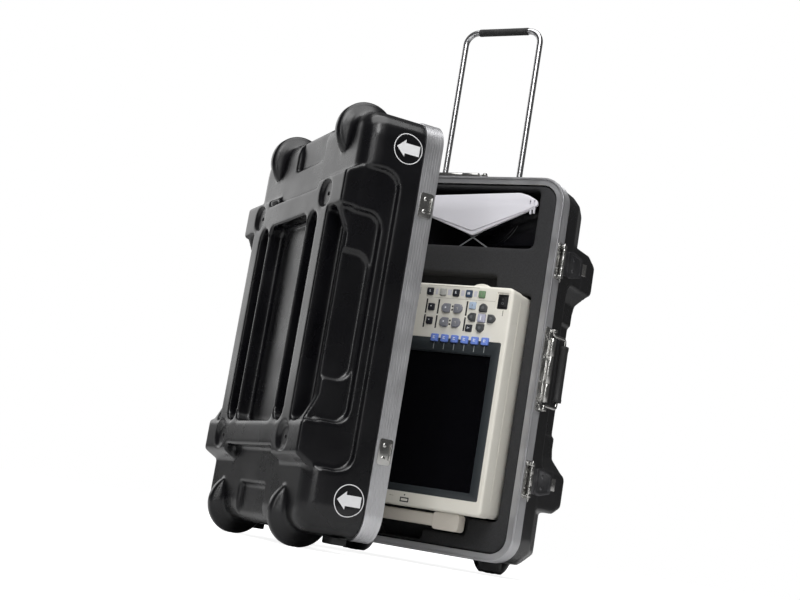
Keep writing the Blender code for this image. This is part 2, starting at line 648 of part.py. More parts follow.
# ---- latches and hinge --------------------------------------------------------------------------
def latch(word, z):
    """A plate with two ears and a pin on the base, and a lever that hangs half open."""
    wall = frame(f"latch_wall_{word}", base, (CASE_W / 2 + GAP, 0, z))
    plate = add(f"latch_plate_{word}", box((0, 0.0014), (0.0030, 0.0270), (-0.029, 0.029)), chrome, wall)
    for side in (-1, 1):
        ear_z = sorted((side * 0.0215, side * 0.0265))
        join(plate, box((0.0004, 0.0088), (0.0135, 0.0225), ear_z))
        hook_z = sorted((side * 0.0225, side * 0.0255))
        join(plate, box((0.0004, 0.0062), (0.0045, 0.0095), hook_z))
    pin_at = (0.0055, 0.0180)
    cut(plate, rod(0.0019, (*pin_at, -0.05), (*pin_at, 0.05), 12))
    axis = (*pin_at, 0)
    hang = math.radians(17.0)
    lever_frame = frame(f"latch_axis_{word}", wall, axis, -hang)
    lever = add(f"latch_lever_{word}", rod(0.0015, (0, 0, -0.0330), (0, 0, 0.0300), 12), steel,
                lever_frame, smooth=True)
    join(lever, rod(0.0034, (0, 0, -0.0208), (0, 0, 0.0208), 14))
    join(lever, box((-0.0012, 0.0012), (0.0015, 0.012), (-0.0200, 0.0200)))
    plate_outline = [(-0.0195, 0.010), (0.0195, 0.010), (0.0215, 0.020), (0.0150, 0.046), (-0.0150, 0.046),
                     (-0.0215, 0.020)]
    join(lever, wedge(plate_outline, (-0.0015, 0.0037)))
    join(lever, box((-0.0008, 0.0028), (0.045, 0.0575), (-0.0095, 0.0095)))


def strikes():
    """Riveted catch plates on the lid's free side, with a rolled hook for the lever."""
    for word, z in (("upper", STRIKE_Z), ("lower", -STRIKE_Z)):
        out = -CASE_W / 2 - GAP
        strike = add(f"strike_{word}", box((out - 0.0014, out), (0.0045, 0.0250), (z - 0.018, z + 0.018)),
                     chrome, lid)
        join(strike, box((out - 0.0050, out - 0.0007), (0.0055, 0.0085), (z - 0.0115, z + 0.0115)))


def hinge():
    """A piano hinge: two leaves with knuckles in turn on one pin."""
    count = 5
    length = 0.072
    reach = count * length / 2
    add("hinge_pin", rod(0.0019, (HINGE_X, 0, -reach - 0.002), (HINGE_X, 0, reach + 0.002), 12),
        steel, base, smooth=True)
    for name, parent, turn, first in (("hinge_leaf_base", base, 1, 0), ("hinge_leaf_lid", lid, -1, 1)):
        out = turn * (-CASE_W / 2 - GAP)
        leaf_x = sorted((out, out - turn * 0.0016))
        leaf = add(name, box(leaf_x, (0.0052, 0.0250), (-reach, reach)), steel, parent)
        for i in range(first, count, 2):
            z = (-reach + i * length + 0.0004, -reach + (i + 1) * length - 0.0004)
            axis = turn * HINGE_X
            join(leaf, rod(0.0042, (axis, 0, z[0]), (axis, 0, z[1]), 12))
            web_x = sorted((out - turn * 0.0004, out - turn * 0.0030))
            join(leaf, box(web_x, (-0.0004, 0.0080), (z[0] + 0.0007, z[1] - 0.0007)))
        cut(leaf, rod(0.0023, (turn * HINGE_X, 0, -reach - 0.01), (turn * HINGE_X, 0, reach + 0.01), 12))


# ---- scanner ------------------------------------------------------------------------------------
SOFT_KEYS = [(0.0590 + 0.01748 * i, 0.0238) for i in range(6)]
GREY_KEYS = [(0.0707, 0.0720), (0.0920, 0.0720), (0.0707, 0.0497), (0.0920, 0.0497)]
CURSOR_KEYS = {"up": (0.1349, 0.0763), "left": (0.1172, 0.0604), "right": (0.1515, 0.0598),
               "select": (0.1346, 0.0596), "down": (0.1341, 0.0439)}
SMALL_KEYS = [(-0.0071, 0.0972), (0.0156, 0.0972), (0.0383, 0.0972), (0.0611, 0.0972), (0.0838, 0.0970),
              (0.1066, 0.0971), (0.1289, 0.0972), (0.0443, 0.0722), (0.0443, 0.0503), (0.1157, 0.0787),
              (0.1146, 0.0428)]
SOFT_SIZE = (0.0116, 0.0118)
GREY_SIZE = (0.0146, 0.0146)
CURSOR_SIZE = (0.0134, 0.0134)
SMALL_SIZE = (0.0116, 0.0112)
ROCKER = (0.1654, 0.0880)
BEZEL_SIZE = (0.0169, 0.0227)
BEZEL_WALL = 0.0018
POCKET_X = (0.1543, 0.1746)
POCKET_Z = (0.0760, 0.1023)
POCKET_DEPTH = 0.0016


def centred(at, size, grow=0.0):
    """The X limits and the Z limits of a rectangle of a given size about a point."""
    return ((at[0] - size[0] / 2 - grow, at[0] + size[0] / 2 + grow),
            (at[1] - size[1] / 2 - grow, at[1] + size[1] / 2 + grow))


def key_hole(obj, at, size, corner=0.002):
    x, z = centred(at, size, 0.0004)
    cut(obj, box(x, (-0.07, -0.048), z, corner, steps=2))


def front_shell():
    shell = add("scanner_front_shell", box(SCAN_X, (SCAN_FRONT, SCAN_SEAM), SCAN_Z, 0.009,
                                           rim=0.004, rim_at=-1, rim_steps=3), beige, base, smooth=True)
    for x in (STRAP_X[0], STRAP_X[1]):
        join(shell, box((x - 0.0165, x + 0.0165), (SCAN_FRONT + 0.004, SCAN_SEAM - 0.002),
                        (0.100, 0.1150), 0.006))
    inner_x = (SCAN_X[0] + SCAN_WALL, SCAN_X[1] - SCAN_WALL)
    inner_z = (SCAN_Z[0] + SCAN_WALL, SCAN_Z[1] - SCAN_WALL)
    cut(shell, box(inner_x, (SCAN_FRONT + SCAN_WALL, 0.0), inner_z, 0.006, steps=3))
    cut(shell, box((FRAME_X[0] - GAP, FRAME_X[1] + GAP), (-0.08, -0.045),
                   (FRAME_Z[0] - GAP, FRAME_Z[1] + GAP), 0.003, steps=2))
    for at in SOFT_KEYS:
        key_hole(shell, at, SOFT_SIZE)
    for at in GREY_KEYS:
        key_hole(shell, at, GREY_SIZE)
    for at in CURSOR_KEYS.values():
        key_hole(shell, at, CURSOR_SIZE)
    for at in SMALL_KEYS:
        key_hole(shell, at, SMALL_SIZE)
    cut(shell, box(POCKET_X, (-0.08, SCAN_FRONT + POCKET_DEPTH), POCKET_Z, 0.002, steps=2))
    x, z = centred(ROCKER, BEZEL_SIZE, GAP)
    cut(shell, box(x, (-0.08, -0.045), z, 0.002, steps=2))


def rear_shell():
    shell = add("scanner_rear_shell", box((SCAN_X[0] + 0.0012, SCAN_X[1] - 0.0012),
                                          (SCAN_SEAM + GAP, SCAN_BACK),
                                          (SCAN_Z[0] + 0.0012, SCAN_Z[1] - 0.0012), 0.008,
                                          rim=0.008, rim_steps=3), beige, base, smooth=True)
    inner_x = (SCAN_X[0] + SCAN_WALL + 0.0012, SCAN_X[1] - SCAN_WALL - 0.0012)
    inner_z = (SCAN_Z[0] + SCAN_WALL + 0.0012, SCAN_Z[1] - SCAN_WALL - 0.0012)
    cut(shell, box(inner_x, (-0.08, SCAN_BACK - SCAN_WALL), inner_z, 0.006, steps=3))


def screen_surround():
    surround = add("screen_surround", box(FRAME_X, (SCAN_FRONT, -0.0505), FRAME_Z, 0.0027, steps=2),
                   slate, base)
    cut(surround, box(LCD_X, (-0.08, -0.04), LCD_Z, 0.001, steps=1))
    for at in SOFT_KEYS:
        key_hole(surround, at, SOFT_SIZE)
    add("lcd_panel", box((LCD_X[0] - 0.006, LCD_X[1] + 0.006), (-0.0502, -0.0425),
                         (LCD_Z[0] - 0.006, LCD_Z[1] + 0.005)), screen, base)


def electronics():
    """The main board, on the back of the front shell."""
    add("main_board", box((-0.133, 0.170), (-0.0395, -0.0379), (-0.225, 0.104)), board_green, base)


def keypad():
    for i, at in enumerate(SOFT_KEYS):
        key(f"soft_key_{i + 1}", at, SOFT_SIZE, blue_key, 0.0016)
    for i, at in enumerate(GREY_KEYS):
        key(f"range_key_{i + 1}", at, GREY_SIZE, grey_key, 0.0040)
    for word, at in CURSOR_KEYS.items():
        key(f"cursor_{word}", at, CURSOR_SIZE, pale_blue_key if word == "select" else grey_key, 0.0036)
    mat = add("small_key_mat", box((-0.0145, 0.0505), (-0.0516, -0.0500), (0.0440, 0.1055)), dark_key, base)
    join(mat, box((0.0400, 0.1365), (-0.0516, -0.0500), (0.0905, 0.1055)))
    join(mat, box((0.1035, 0.1225), (-0.0516, -0.0500), (0.0362, 0.0985)))
    for at in SMALL_KEYS:
        x, z = centred(at, SMALL_SIZE)
        join(mat, box(x, (-0.0570, -0.0508), z, 0.0018, steps=2))
    for at in GREY_KEYS:
        key_hole(mat, at, GREY_SIZE)
    for at in CURSOR_KEYS.values():
        key_hole(mat, at, CURSOR_SIZE)


def key(name, at, size, mat, corner):
    x, z = centred(at, size)
    add(name, box(x, (KEY_FRONT, KEY_BACK), z, corner, steps=2, rim=0.0010, rim_at=-1, rim_steps=2), mat,
        base, (at[0], KEY_FRONT, at[1]))


def power_switch():
    """A black rocker in its own bezel, sunk in a shallow pocket of the front shell."""
    x, z = centred(ROCKER, BEZEL_SIZE)
    bezel = add("switch_bezel", box(x, (SCAN_FRONT + 0.0004, -0.0420), z, 0.0012, steps=2), black_plastic,
                base)
    x, z = centred(ROCKER, BEZEL_SIZE, -BEZEL_WALL)
    cut(bezel, box(x, (-0.08, -0.0440), z))
    x, z = centred(ROCKER, BEZEL_SIZE, -BEZEL_WALL - 0.0005)
    axis = (ROCKER[0], -0.0500, ROCKER[1])
    profile = [(-0.0081, -0.0535), (-0.0081, -0.0500), (-0.0032, -0.0455), (0.0032, -0.0455),
               (0.0081, -0.0500), (0.0081, -0.0560), (0.0, -0.0545)]
    outline = [(ROCKER[1] + up, y) for up, y in profile]
    add("power_rocker", wedge(outline, x), black_plastic, base, axis)


def strap_handle():
    """A moulded strap along the scanner's edge, held at both ends in round-cornered caps."""
    y = (SCAN_FRONT + 0.006, SCAN_FRONT + 0.026)
    for word, x in zip(("left", "right"), STRAP_X):
        cap = add(f"strap_cap_{word}", box((x - STRAP_CAP / 2, x + STRAP_CAP / 2), (y[0] - 0.001, y[1] + 0.001),
                                           (-0.2680, SCAN_Z[0] - GAP), 0.006, rim=0.002, rim_at=-1,
                                           rim_steps=2), beige, base, smooth=True)
        cut(cap, box((STRAP_X[0], STRAP_X[1]), (y[0] + 0.0008, y[1] - 0.0008), (-0.2646, -0.2444)))
    end = 0.012
    strap = box((STRAP_X[0] + end, STRAP_X[1] - end), (y[0] + 0.0015, y[1] - 0.0015), (-0.2640, -0.2450),
                0.0025, along="x", steps=2)
    add("strap_handle", strap, beige, base, smooth=True)


# ---- viewing hood -------------------------------------------------------------------------------
def hood():
    """A folded viewing hood: a deep V-shaped cover, open behind, with its dark inner flap."""
    place = frame("hood_frame", base, HOOD_AT)
    place.rotation_euler = (0, -HOOD_TILT, 0)
    right = [(0.078, 0.0), (0.093, -0.0046), (0.1085, -0.0133), (0.1110, -0.0215), (0.0945, -0.0312)]
    left = [(-x, z) for x, z in reversed(right)]
    outline = [(0.0, -0.0696), *reversed(right), *reversed(left)]
    cover = add("hood_cover", slab(outline, (0.0, HOOD_DEPTH)), hood_grey, place, smooth=True)
    inner = [(x * 0.965, -0.030 + (z + 0.030) * 0.90) for x, z in outline]
    cut(cover, slab(inner, (0.0028, HOOD_DEPTH + 0.01)))
    flap_line = [*arc((-0.094, -0.064), 0.013, 180, 270, 4), *arc((0.092, -0.064), 0.013, 270, 360, 4),
                 (0.105, -0.020), (-0.107, -0.020)]
    add("hood_flap", slab(flap_line, (HOOD_DEPTH + GAP, HOOD_DEPTH + 0.0035)), black_plastic, place)


base_shell()
lid_shell()
valances()
base_foam()
lid_foam()
wheels()
feet()
handle_guide()
pull_handle()
carry_handle("side_handle", on_top=False)
carry_handle("top_handle", on_top=True)
latch("upper", LATCH_Z)
latch("lower", -LATCH_Z)
strikes()
hinge()
front_shell()
rear_shell()
screen_surround()
electronics()
keypad()
power_switch()
strap_handle()
hood()
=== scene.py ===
import json
import math

import bmesh
import bpy
from mathutils import Euler, Matrix, Vector

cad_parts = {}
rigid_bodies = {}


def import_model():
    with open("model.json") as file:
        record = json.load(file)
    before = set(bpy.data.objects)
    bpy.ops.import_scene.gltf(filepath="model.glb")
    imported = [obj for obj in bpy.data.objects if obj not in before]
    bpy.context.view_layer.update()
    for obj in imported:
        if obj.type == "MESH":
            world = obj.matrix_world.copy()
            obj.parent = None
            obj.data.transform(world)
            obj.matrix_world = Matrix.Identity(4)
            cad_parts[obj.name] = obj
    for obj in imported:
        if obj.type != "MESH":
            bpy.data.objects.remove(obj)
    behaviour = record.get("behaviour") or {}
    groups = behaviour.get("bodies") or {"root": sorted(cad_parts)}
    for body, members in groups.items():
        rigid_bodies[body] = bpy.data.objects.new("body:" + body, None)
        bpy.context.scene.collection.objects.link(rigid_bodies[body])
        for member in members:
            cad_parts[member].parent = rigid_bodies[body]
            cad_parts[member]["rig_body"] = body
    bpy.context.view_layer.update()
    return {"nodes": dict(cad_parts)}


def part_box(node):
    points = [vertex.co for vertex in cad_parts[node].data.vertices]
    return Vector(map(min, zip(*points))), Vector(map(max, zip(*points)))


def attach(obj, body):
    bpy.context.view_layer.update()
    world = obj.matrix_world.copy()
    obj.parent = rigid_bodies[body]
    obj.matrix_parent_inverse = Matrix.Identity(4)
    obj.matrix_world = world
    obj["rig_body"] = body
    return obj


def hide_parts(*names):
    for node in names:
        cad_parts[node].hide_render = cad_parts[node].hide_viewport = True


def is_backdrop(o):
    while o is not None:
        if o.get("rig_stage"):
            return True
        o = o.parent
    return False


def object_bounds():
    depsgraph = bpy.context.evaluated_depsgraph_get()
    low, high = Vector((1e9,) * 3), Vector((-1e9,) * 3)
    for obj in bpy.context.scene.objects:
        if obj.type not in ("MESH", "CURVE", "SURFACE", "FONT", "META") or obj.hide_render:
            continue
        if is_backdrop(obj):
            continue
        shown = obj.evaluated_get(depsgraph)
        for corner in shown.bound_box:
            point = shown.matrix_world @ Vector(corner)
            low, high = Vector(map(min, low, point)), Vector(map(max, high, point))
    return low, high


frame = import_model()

# ---- the studio ----
# A white paper floor in a dim room with large soft lamps. The camera looks up at the case from
# close to the floor and a little rolled, so that the open lid leans away to the left.
bpy.ops.object.select_all(action="DESELECT")
bpy.ops.mesh.primitive_circle_add(vertices=96, radius=9.0, fill_type="NGON", location=(0, 0, 0))
floor = bpy.context.object
floor.name = "studio_floor"
floor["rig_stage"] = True


def set_sockets(node, **values):
    """Put constants on a node's own sockets; an underscore stands for a space in a name."""
    for socket, value in values.items():
        node.inputs[socket.replace("_", " ")].default_value = value
    return node


def new_node(tree, kind, **values):
    return set_sockets(tree.nodes.new("ShaderNode" + kind), **values)


def seen_directly(tree):
    """A socket that is 1 for what the camera sees itself or through something clear."""
    ray = new_node(tree, "LightPath")
    seen = new_node(tree, "Math")
    seen.operation = "MAXIMUM"
    tree.links.new(ray.outputs["Is Camera Ray"], seen.inputs[0])
    tree.links.new(ray.outputs["Is Transmission Ray"], seen.inputs[1])
    return seen.outputs[0]


paper = bpy.data.materials.new("white_paper")
paper.use_nodes = True
tree = paper.node_tree
matt = set_sockets(tree.nodes["Principled BSDF"], Base_Color=(0.86, 0.86, 0.86, 1), Roughness=0.9,
                   Specular_IOR_Level=0.1)
where = new_node(tree, "TexCoord")
apart = new_node(tree, "VectorMath")
apart.operation = "LENGTH"
fade = new_node(tree, "MapRange", From_Min=0.45, From_Max=1.3, To_Min=0.87, To_Max=1.0)
glow = new_node(tree, "Emission")
nothing = new_node(tree, "BsdfTransparent", Color=(0, 0, 0, 1))
pick_glow = new_node(tree, "MixShader")
lit_and_glowing = new_node(tree, "AddShader")
for start, end in ((where.outputs["Object"], apart.inputs[0]),
                   (apart.outputs["Value"], fade.inputs["Value"]),
                   (fade.outputs["Result"], glow.inputs["Strength"]),
                   (seen_directly(tree), pick_glow.inputs["Fac"]),
                   (nothing.outputs[0], pick_glow.inputs[1]), (glow.outputs[0], pick_glow.inputs[2]),
                   (matt.outputs[0], lit_and_glowing.inputs[0]),
                   (pick_glow.outputs[0], lit_and_glowing.inputs[1]),
                   (lit_and_glowing.outputs[0], tree.nodes["Material Output"].inputs["Surface"])):
    tree.links.new(start, end)
floor.data.materials.append(paper)

studio = bpy.data.worlds.new("dim_room")
bpy.context.scene.world = studio
studio.use_nodes = True
tree = studio.node_tree
dim = set_sockets(tree.nodes["Background"], Color=(1, 1, 1, 1), Strength=0.10)
backdrop = new_node(tree, "Background", Color=(1, 1, 1, 1))
pick_backdrop = new_node(tree, "MixShader")
for start, end in ((seen_directly(tree), pick_backdrop.inputs["Fac"]),
                   (dim.outputs[0], pick_backdrop.inputs[1]), (backdrop.outputs[0], pick_backdrop.inputs[2]),
                   (pick_backdrop.outputs[0], tree.nodes["World Output"].inputs["Surface"])):
    tree.links.new(start, end)


def added(name, data):
    """A new object in the scene that holds this lamp, camera, curve or mesh."""
    thing = bpy.data.objects.new(name, data)
    bpy.context.scene.collection.objects.link(thing)
    return thing


def soft_lamp(name, place, aim, width, height, power):
    """A square softbox at a place, facing a point."""
    lamp = bpy.data.lights.new(name, "AREA")
    lamp.shape = "RECTANGLE"
    lamp.size = width
    lamp.size_y = height
    lamp.energy = power
    stand = added(name, lamp)
    stand.location = place
    stand.rotation_euler = (Vector(aim) - Vector(place)).to_track_quat("-Z", "Y").to_euler()


soft_lamp("overhead_softbox", (0.1, -0.5, 2.4), (0, 0, 0.4), 1.8, 1.8, 34)
soft_lamp("left_softbox", (-2.3, 0.75, 1.08), (0, 0, 0.38), 1.6, 1.5, 10.5)
soft_lamp("front_softbox", (1.15, -2.25, 2.3), (0, 0, 0.35), 1.4, 1.4, 54)
soft_lamp("front_strip", (0.55, -2.7, 0.80), (0, 0, 0.35), 0.22, 1.3, 7)

LOOK_UP = math.radians(90.0 + 9.452)
LOOK_LEFT = math.radians(29.824)
ROLL = math.radians(9.474)
lens = bpy.data.cameras.new("camera")
lens.sensor_width = 36.0
lens.lens = 61.24
lens.clip_start = 0.05
lens.clip_end = 60.0
camera = added("camera", lens)
camera.location = (1.0771, -1.8214, 0.0472)
look = Euler((LOOK_UP, 0, LOOK_LEFT)).to_matrix()
camera.rotation_euler = (look @ Matrix.Rotation(ROLL, 3, "Z")).to_euler()
bpy.context.scene.camera = camera
bpy.context.scene.view_settings.view_transform = "Standard"

# ---- moulded shells ----
# Both halves of the case are rotationally moulded in black polyethylene: thick walls, everything
# rounded, a faint orange-peel skin. Ribs, bands and gutters stiffen the back, and round bumpers
# stand at the corners.
rim_low, rim_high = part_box("base_valance")
TONGUE = 0.0016
BASE = Matrix.Translation(((rim_low.x + rim_high.x) / 2, rim_low.y + TONGUE, (rim_low.z + rim_high.z) / 2))
HINGE_X = -0.2216
LID_OPEN = math.radians(36.0)
LID = (BASE @ Matrix.Translation((HINGE_X, 0, 0)) @ Matrix.Rotation(-LID_OPEN, 4, "Z")
       @ Matrix.Translation((-HINGE_X, 0, 0)) @ Matrix.Rotation(math.pi, 4, "Z"))
BASE_DEPTH = 0.176
LID_DEPTH = 0.1393


def select_only(*pieces):
    bpy.ops.object.select_all(action="DESELECT")
    for piece in pieces:
        piece.select_set(True)
    bpy.context.view_layer.objects.active = pieces[0]


def edit(piece):
    """Open one piece in edit mode with all of it selected."""
    select_only(piece)
    bpy.ops.object.mode_set(mode="EDIT")
    bpy.ops.mesh.select_all(action="SELECT")


def done():
    bpy.ops.object.mode_set(mode="OBJECT")


def merged_copy(node, layout):
    """A merged copy of a CAD piece, brought back upright into its half's own layout."""
    piece = added("copy", frame["nodes"][node].data.copy())
    piece.data.materials.clear()
    piece.data.transform(layout.inverted())
    select_only(piece)
    bpy.ops.mesh.customdata_custom_splitnormals_clear()
    edit(piece)
    bpy.ops.mesh.remove_doubles(threshold=0.00001)
    bpy.ops.mesh.dissolve_limited(angle_limit=math.radians(0.5))
    done()
    return piece


def runs(axis):
    """Picks the edges that run along an axis."""
    return lambda edge: abs((edge.verts[0].co - edge.verts[1].co).normalized()[axis]) > 0.99


def round_edges(piece, radius, steps, wanted):
    edit(piece)
    bpy.ops.mesh.select_mode(type="EDGE")
    bpy.ops.mesh.select_all(action="DESELECT")
    mesh = bmesh.from_edit_mesh(piece.data)
    for edge in mesh.edges:
        edge.select = wanted(edge)
    mesh.select_flush_mode()
    bmesh.update_edit_mesh(piece.data)
    bpy.ops.mesh.bevel(offset=radius, offset_type="OFFSET", segments=steps, affect="EDGES",
                       clamp_overlap=True)
    done()


def block(x, y, z, corner=0.0, along=1, steps=4):
    """A block between limits; its edges along one axis are rounded."""
    low = Vector((x[0], y[0], z[0]))
    high = Vector((x[1], y[1], z[1]))
    bpy.ops.object.select_all(action="DESELECT")
    bpy.ops.mesh.primitive_cube_add(size=1, location=(low + high) / 2, scale=high - low)
    piece = bpy.context.object
    bpy.ops.object.transform_apply(location=True, rotation=True, scale=True)
    if corner:
        round_edges(piece, corner, steps, runs(along))
    return piece


def sided(side, near, far):
    return sorted((side * near, side * far))


def modify(piece, kind, **settings):
    """Add a modifier with these settings and apply it at once."""
    select_only(piece)
    change = piece.modifiers.new(kind.lower(), kind)
    for word, value in settings.items():
        setattr(change, word, value)
    bpy.ops.object.modifier_apply(modifier=change.name)
    return piece


def carve(piece, tool, operation="DIFFERENCE"):
    modify(piece, "BOOLEAN", operation=operation, object=tool, solver="EXACT")
    bpy.data.objects.remove(tool)


def new_finish(name, colour, roughness, metallic=0.0, specular=0.5):
    """A Principled finish for the pieces that wear it."""
    finish = bpy.data.materials.new(name)
    finish.use_nodes = True
    set_sockets(finish.node_tree.nodes["Principled BSDF"], Base_Color=(*colour, 1), Roughness=roughness,
                Metallic=metallic, Specular_IOR_Level=specular)
    return finish


def settle(piece, name, finish, node, layout=BASE):
    """Move a finished piece from its layout to its place, where it stands for its CAD node."""
    piece.name = name
    piece.data.name = name
    piece.data.transform(layout)
    piece.data.materials.clear()
    piece.data.materials.append(finish)
    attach(piece, frame["nodes"][node]["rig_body"])
    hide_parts(node)


PATTERN_SPAN = (0.3, 0.7)


def noise(finish, scale, detail, stretch=(1, 1, 1)):
    """A noise pattern on the piece's own coordinates; gives its value socket."""
    tree = finish.node_tree
    where = new_node(tree, "TexCoord")
    place = new_node(tree, "Mapping", Scale=stretch)
    grain = new_node(tree, "TexNoise", Scale=scale, Detail=detail)
    tree.links.new(where.outputs["Object"], place.inputs["Vector"])
    tree.links.new(place.outputs["Vector"], grain.inputs["Vector"])
    return grain.outputs["Fac"]


def vary(finish, grain, low, high):
    """Vary the roughness between two values with a noise pattern."""
    tree = finish.node_tree
    ramp = new_node(tree, "MapRange", From_Min=PATTERN_SPAN[0], From_Max=PATTERN_SPAN[1], To_Min=low,
                    To_Max=high)
    tree.links.new(noise(finish, *grain), ramp.inputs["Value"])
    tree.links.new(ramp.outputs["Result"], tree.nodes["Principled BSDF"].inputs["Roughness"])


def tint(finish, grain, low, high):
    """Vary the base colour between two colours with a noise pattern."""
    tree = finish.node_tree
    ramp = new_node(tree, "ValToRGB")
    for stop, at, colour in zip(ramp.color_ramp.elements, PATTERN_SPAN, (low, high)):
        stop.position = at
        stop.color = (*colour, 1)
    tree.links.new(noise(finish, *grain), ramp.inputs["Fac"])
    tree.links.new(ramp.outputs["Color"], tree.nodes["Principled BSDF"].inputs["Base Color"])


def relief(finish, grain, height, strength):
    """Add a bump of a real height in metres on top of what the finish has."""
    tree = finish.node_tree
    normal = tree.nodes["Principled BSDF"].inputs["Normal"]
    bump = new_node(tree, "Bump", Distance=height, Strength=strength)
    if normal.links:
        tree.links.new(normal.links[0].from_socket, bump.inputs["Normal"])
    tree.links.new(noise(finish, *grain), bump.inputs["Height"])
    tree.links.new(bump.outputs["Normal"], normal)


black_skin = new_finish("moulded_black", (0.0035, 0.0035, 0.0045), 0.24, specular=0.45)
vary(black_skin, (14, 6), 0.23, 0.34)
tint(black_skin, (9, 5), (0.0014, 0.0014, 0.0021), (0.0026, 0.0025, 0.0036))
relief(black_skin, (620, 2), 0.00006, 0.5)
relief(black_skin, (26, 3), 0.0005, 0.35)


def together(first, *others):
    """Several closed bodies as one piece."""
    select_only(first, *others)
    bpy.ops.object.join()
    return first


def outward(piece):
    """Merge doubles and turn every face outwards."""
    edit(piece)
    bpy.ops.mesh.remove_doubles(threshold=0.000005)
    bpy.ops.mesh.normals_make_consistent(inside=False)
    done()


def shape(corners, edges, faces):
    """A new piece from corners and the edges or faces between them."""
    mesh = bpy.data.meshes.new("shape")
    mesh.from_pydata(corners, edges, faces)
    return added("shape", mesh)


def lathe(profile, place, steps, along=0):
    """A profile of (radius, height) pairs spun about an axis through a point."""
    edges = [(i, i + 1) for i in range(len(profile) - 1)]
    if profile[0][0] > 0:
        edges.append((len(profile) - 1, 0))
    piece = shape([(radius, 0, height) for radius, height in profile], edges, [])
    edit(piece)
    bpy.ops.mesh.spin(steps=steps, angle=math.tau, center=(0, 0, 0), axis=(0, 0, 1))
    done()
    outward(piece)
    aim = Vector([float(axis == along) for axis in range(3)])
    turn = Vector((0, 0, 1)).rotation_difference(aim).to_matrix().to_4x4()
    piece.data.transform(Matrix.Translation(place) @ turn)
    return piece


def mirrored(half):
    """A profile and its mirror image below the middle, as one."""
    return half + [(radius, -height) for radius, height in reversed(half)]


BUMP_R = 0.046
BUMP_BACK = 0.047
BUMP_HALF = 0.009
BUMP_X = 0.1357
BUMP_Z = 0.279
LID_BUMPERS = [(x, z) for x in (-BUMP_X, BUMP_X) for z in (-BUMP_Z, BUMP_Z)]
BASE_BUMPERS = [(-BUMP_X, BUMP_Z), (BUMP_X, BUMP_Z)]
FILL_X = (-0.1905, 0.1905)
FILL_Z = (-0.2955, 0.2955)
HOLLOW_X = (-0.1895, 0.1895)
HOLLOW_TOP = 0.2945
WALL_CORNER = 0.03
MOUTH_CORNER = 0.034
for node, name, layout, depth, bumpers in (("base_shell", "base_case", BASE, BASE_DEPTH, BASE_BUMPERS),
                                           ("lid_shell", "lid_case", LID, LID_DEPTH, LID_BUMPERS)):
    # The case is filled solid while its outside is softened, and hollowed again afterwards.
    case = merged_copy(node, layout)
    filler = [block((-0.209, 0.209), (0.0045, 0.0545), (-0.2965, 0.2965), MOUTH_CORNER)]
    room = depth - (0.042 if node == "base_shell" else 0.034)
    for side in (-1, 1):
        filler.append(block((-0.1885, 0.1885), (0.09, depth - 0.0102), sided(side, 0.156, 0.188)))
    if node == "base_shell":
        filler.append(block(FILL_X, (0.03, room + 0.001), (-0.22, FILL_Z[1]), WALL_CORNER))
        filler.append(block(FILL_X, (0.03, 0.0745), FILL_Z, WALL_CORNER))
        filler.append(block((-0.106, 0.106), (0.03, room + 0.001), (FILL_Z[0], 0.0)))
    else:
        filler.append(block(FILL_X, (0.03, room + 0.001), FILL_Z, WALL_CORNER))
    for part in filler:
        carve(case, part, "UNION")
    modify(case, "REMESH", mode="VOXEL", voxel_size=0.0026)
    modify(case, "SMOOTH", factor=0.5, iterations=5)
    modify(case, "DECIMATE", ratio=0.42)
    details = []
    for x, z in bumpers:
        flank = [(BUMP_R - 0.0150, BUMP_HALF + 0.0004), (BUMP_R - 0.0060, BUMP_HALF + 0.0008),
                 (BUMP_R - 0.0024, BUMP_HALF - 0.0004), (BUMP_R - 0.0008, BUMP_HALF - 0.0022),
                 (BUMP_R + 0.0003, BUMP_HALF - 0.0044)]
        details.append(lathe(mirrored(flank), (x, depth - BUMP_BACK, z), steps=72))
    for x in (-0.1395, 0.1395):
        for z in (-0.1767, 0.1767):
            floor_at = depth - 0.0055
            button = [(0, 0.0016), (0.0018, 0.0014), (0.0030, 0.0008), (0.0034, -0.0020), (0, -0.0020)]
            details.append(lathe(button, (x, floor_at, z), along=1, steps=20))
    carve(case, together(*details), "UNION")
    carve(case, block((-0.207, 0.207), (-0.01, 0.054), (-HOLLOW_TOP, HOLLOW_TOP), MOUTH_CORNER))
    hollow_foot = -0.2255 if node == "base_shell" else -HOLLOW_TOP
    carve(case, block(HOLLOW_X, (0.05, room), (hollow_foot, HOLLOW_TOP), WALL_CORNER))
    select_only(case)
    bpy.ops.object.shade_smooth_by_angle(angle=math.radians(50))
    settle(case, name, black_skin, node, layout)

# ---- aluminium valances ----
# The rim of each half is an extruded aluminium profile, bent round the four corners and riveted on.
# Its outer face carries five fine grooves; the base has a bead that seats in the lid's groove.
CASE_W = 0.434
CASE_H = 0.609
CORNER_R = 0.040


def poly_line(points, kind):
    """A line of straight pieces through points, flat or in space."""
    line = bpy.data.curves.new("line", "CURVE")
    line.dimensions = kind
    spline = line.splines.new("POLY")
    spline.points.add(len(points) - 1)
    for point, place in zip(spline.points, points):
        point.co = (*place, 1)
    return added("line", line)


def to_mesh(bar):
    select_only(bar)
    bpy.ops.object.convert(target="MESH")
    return bpy.context.object


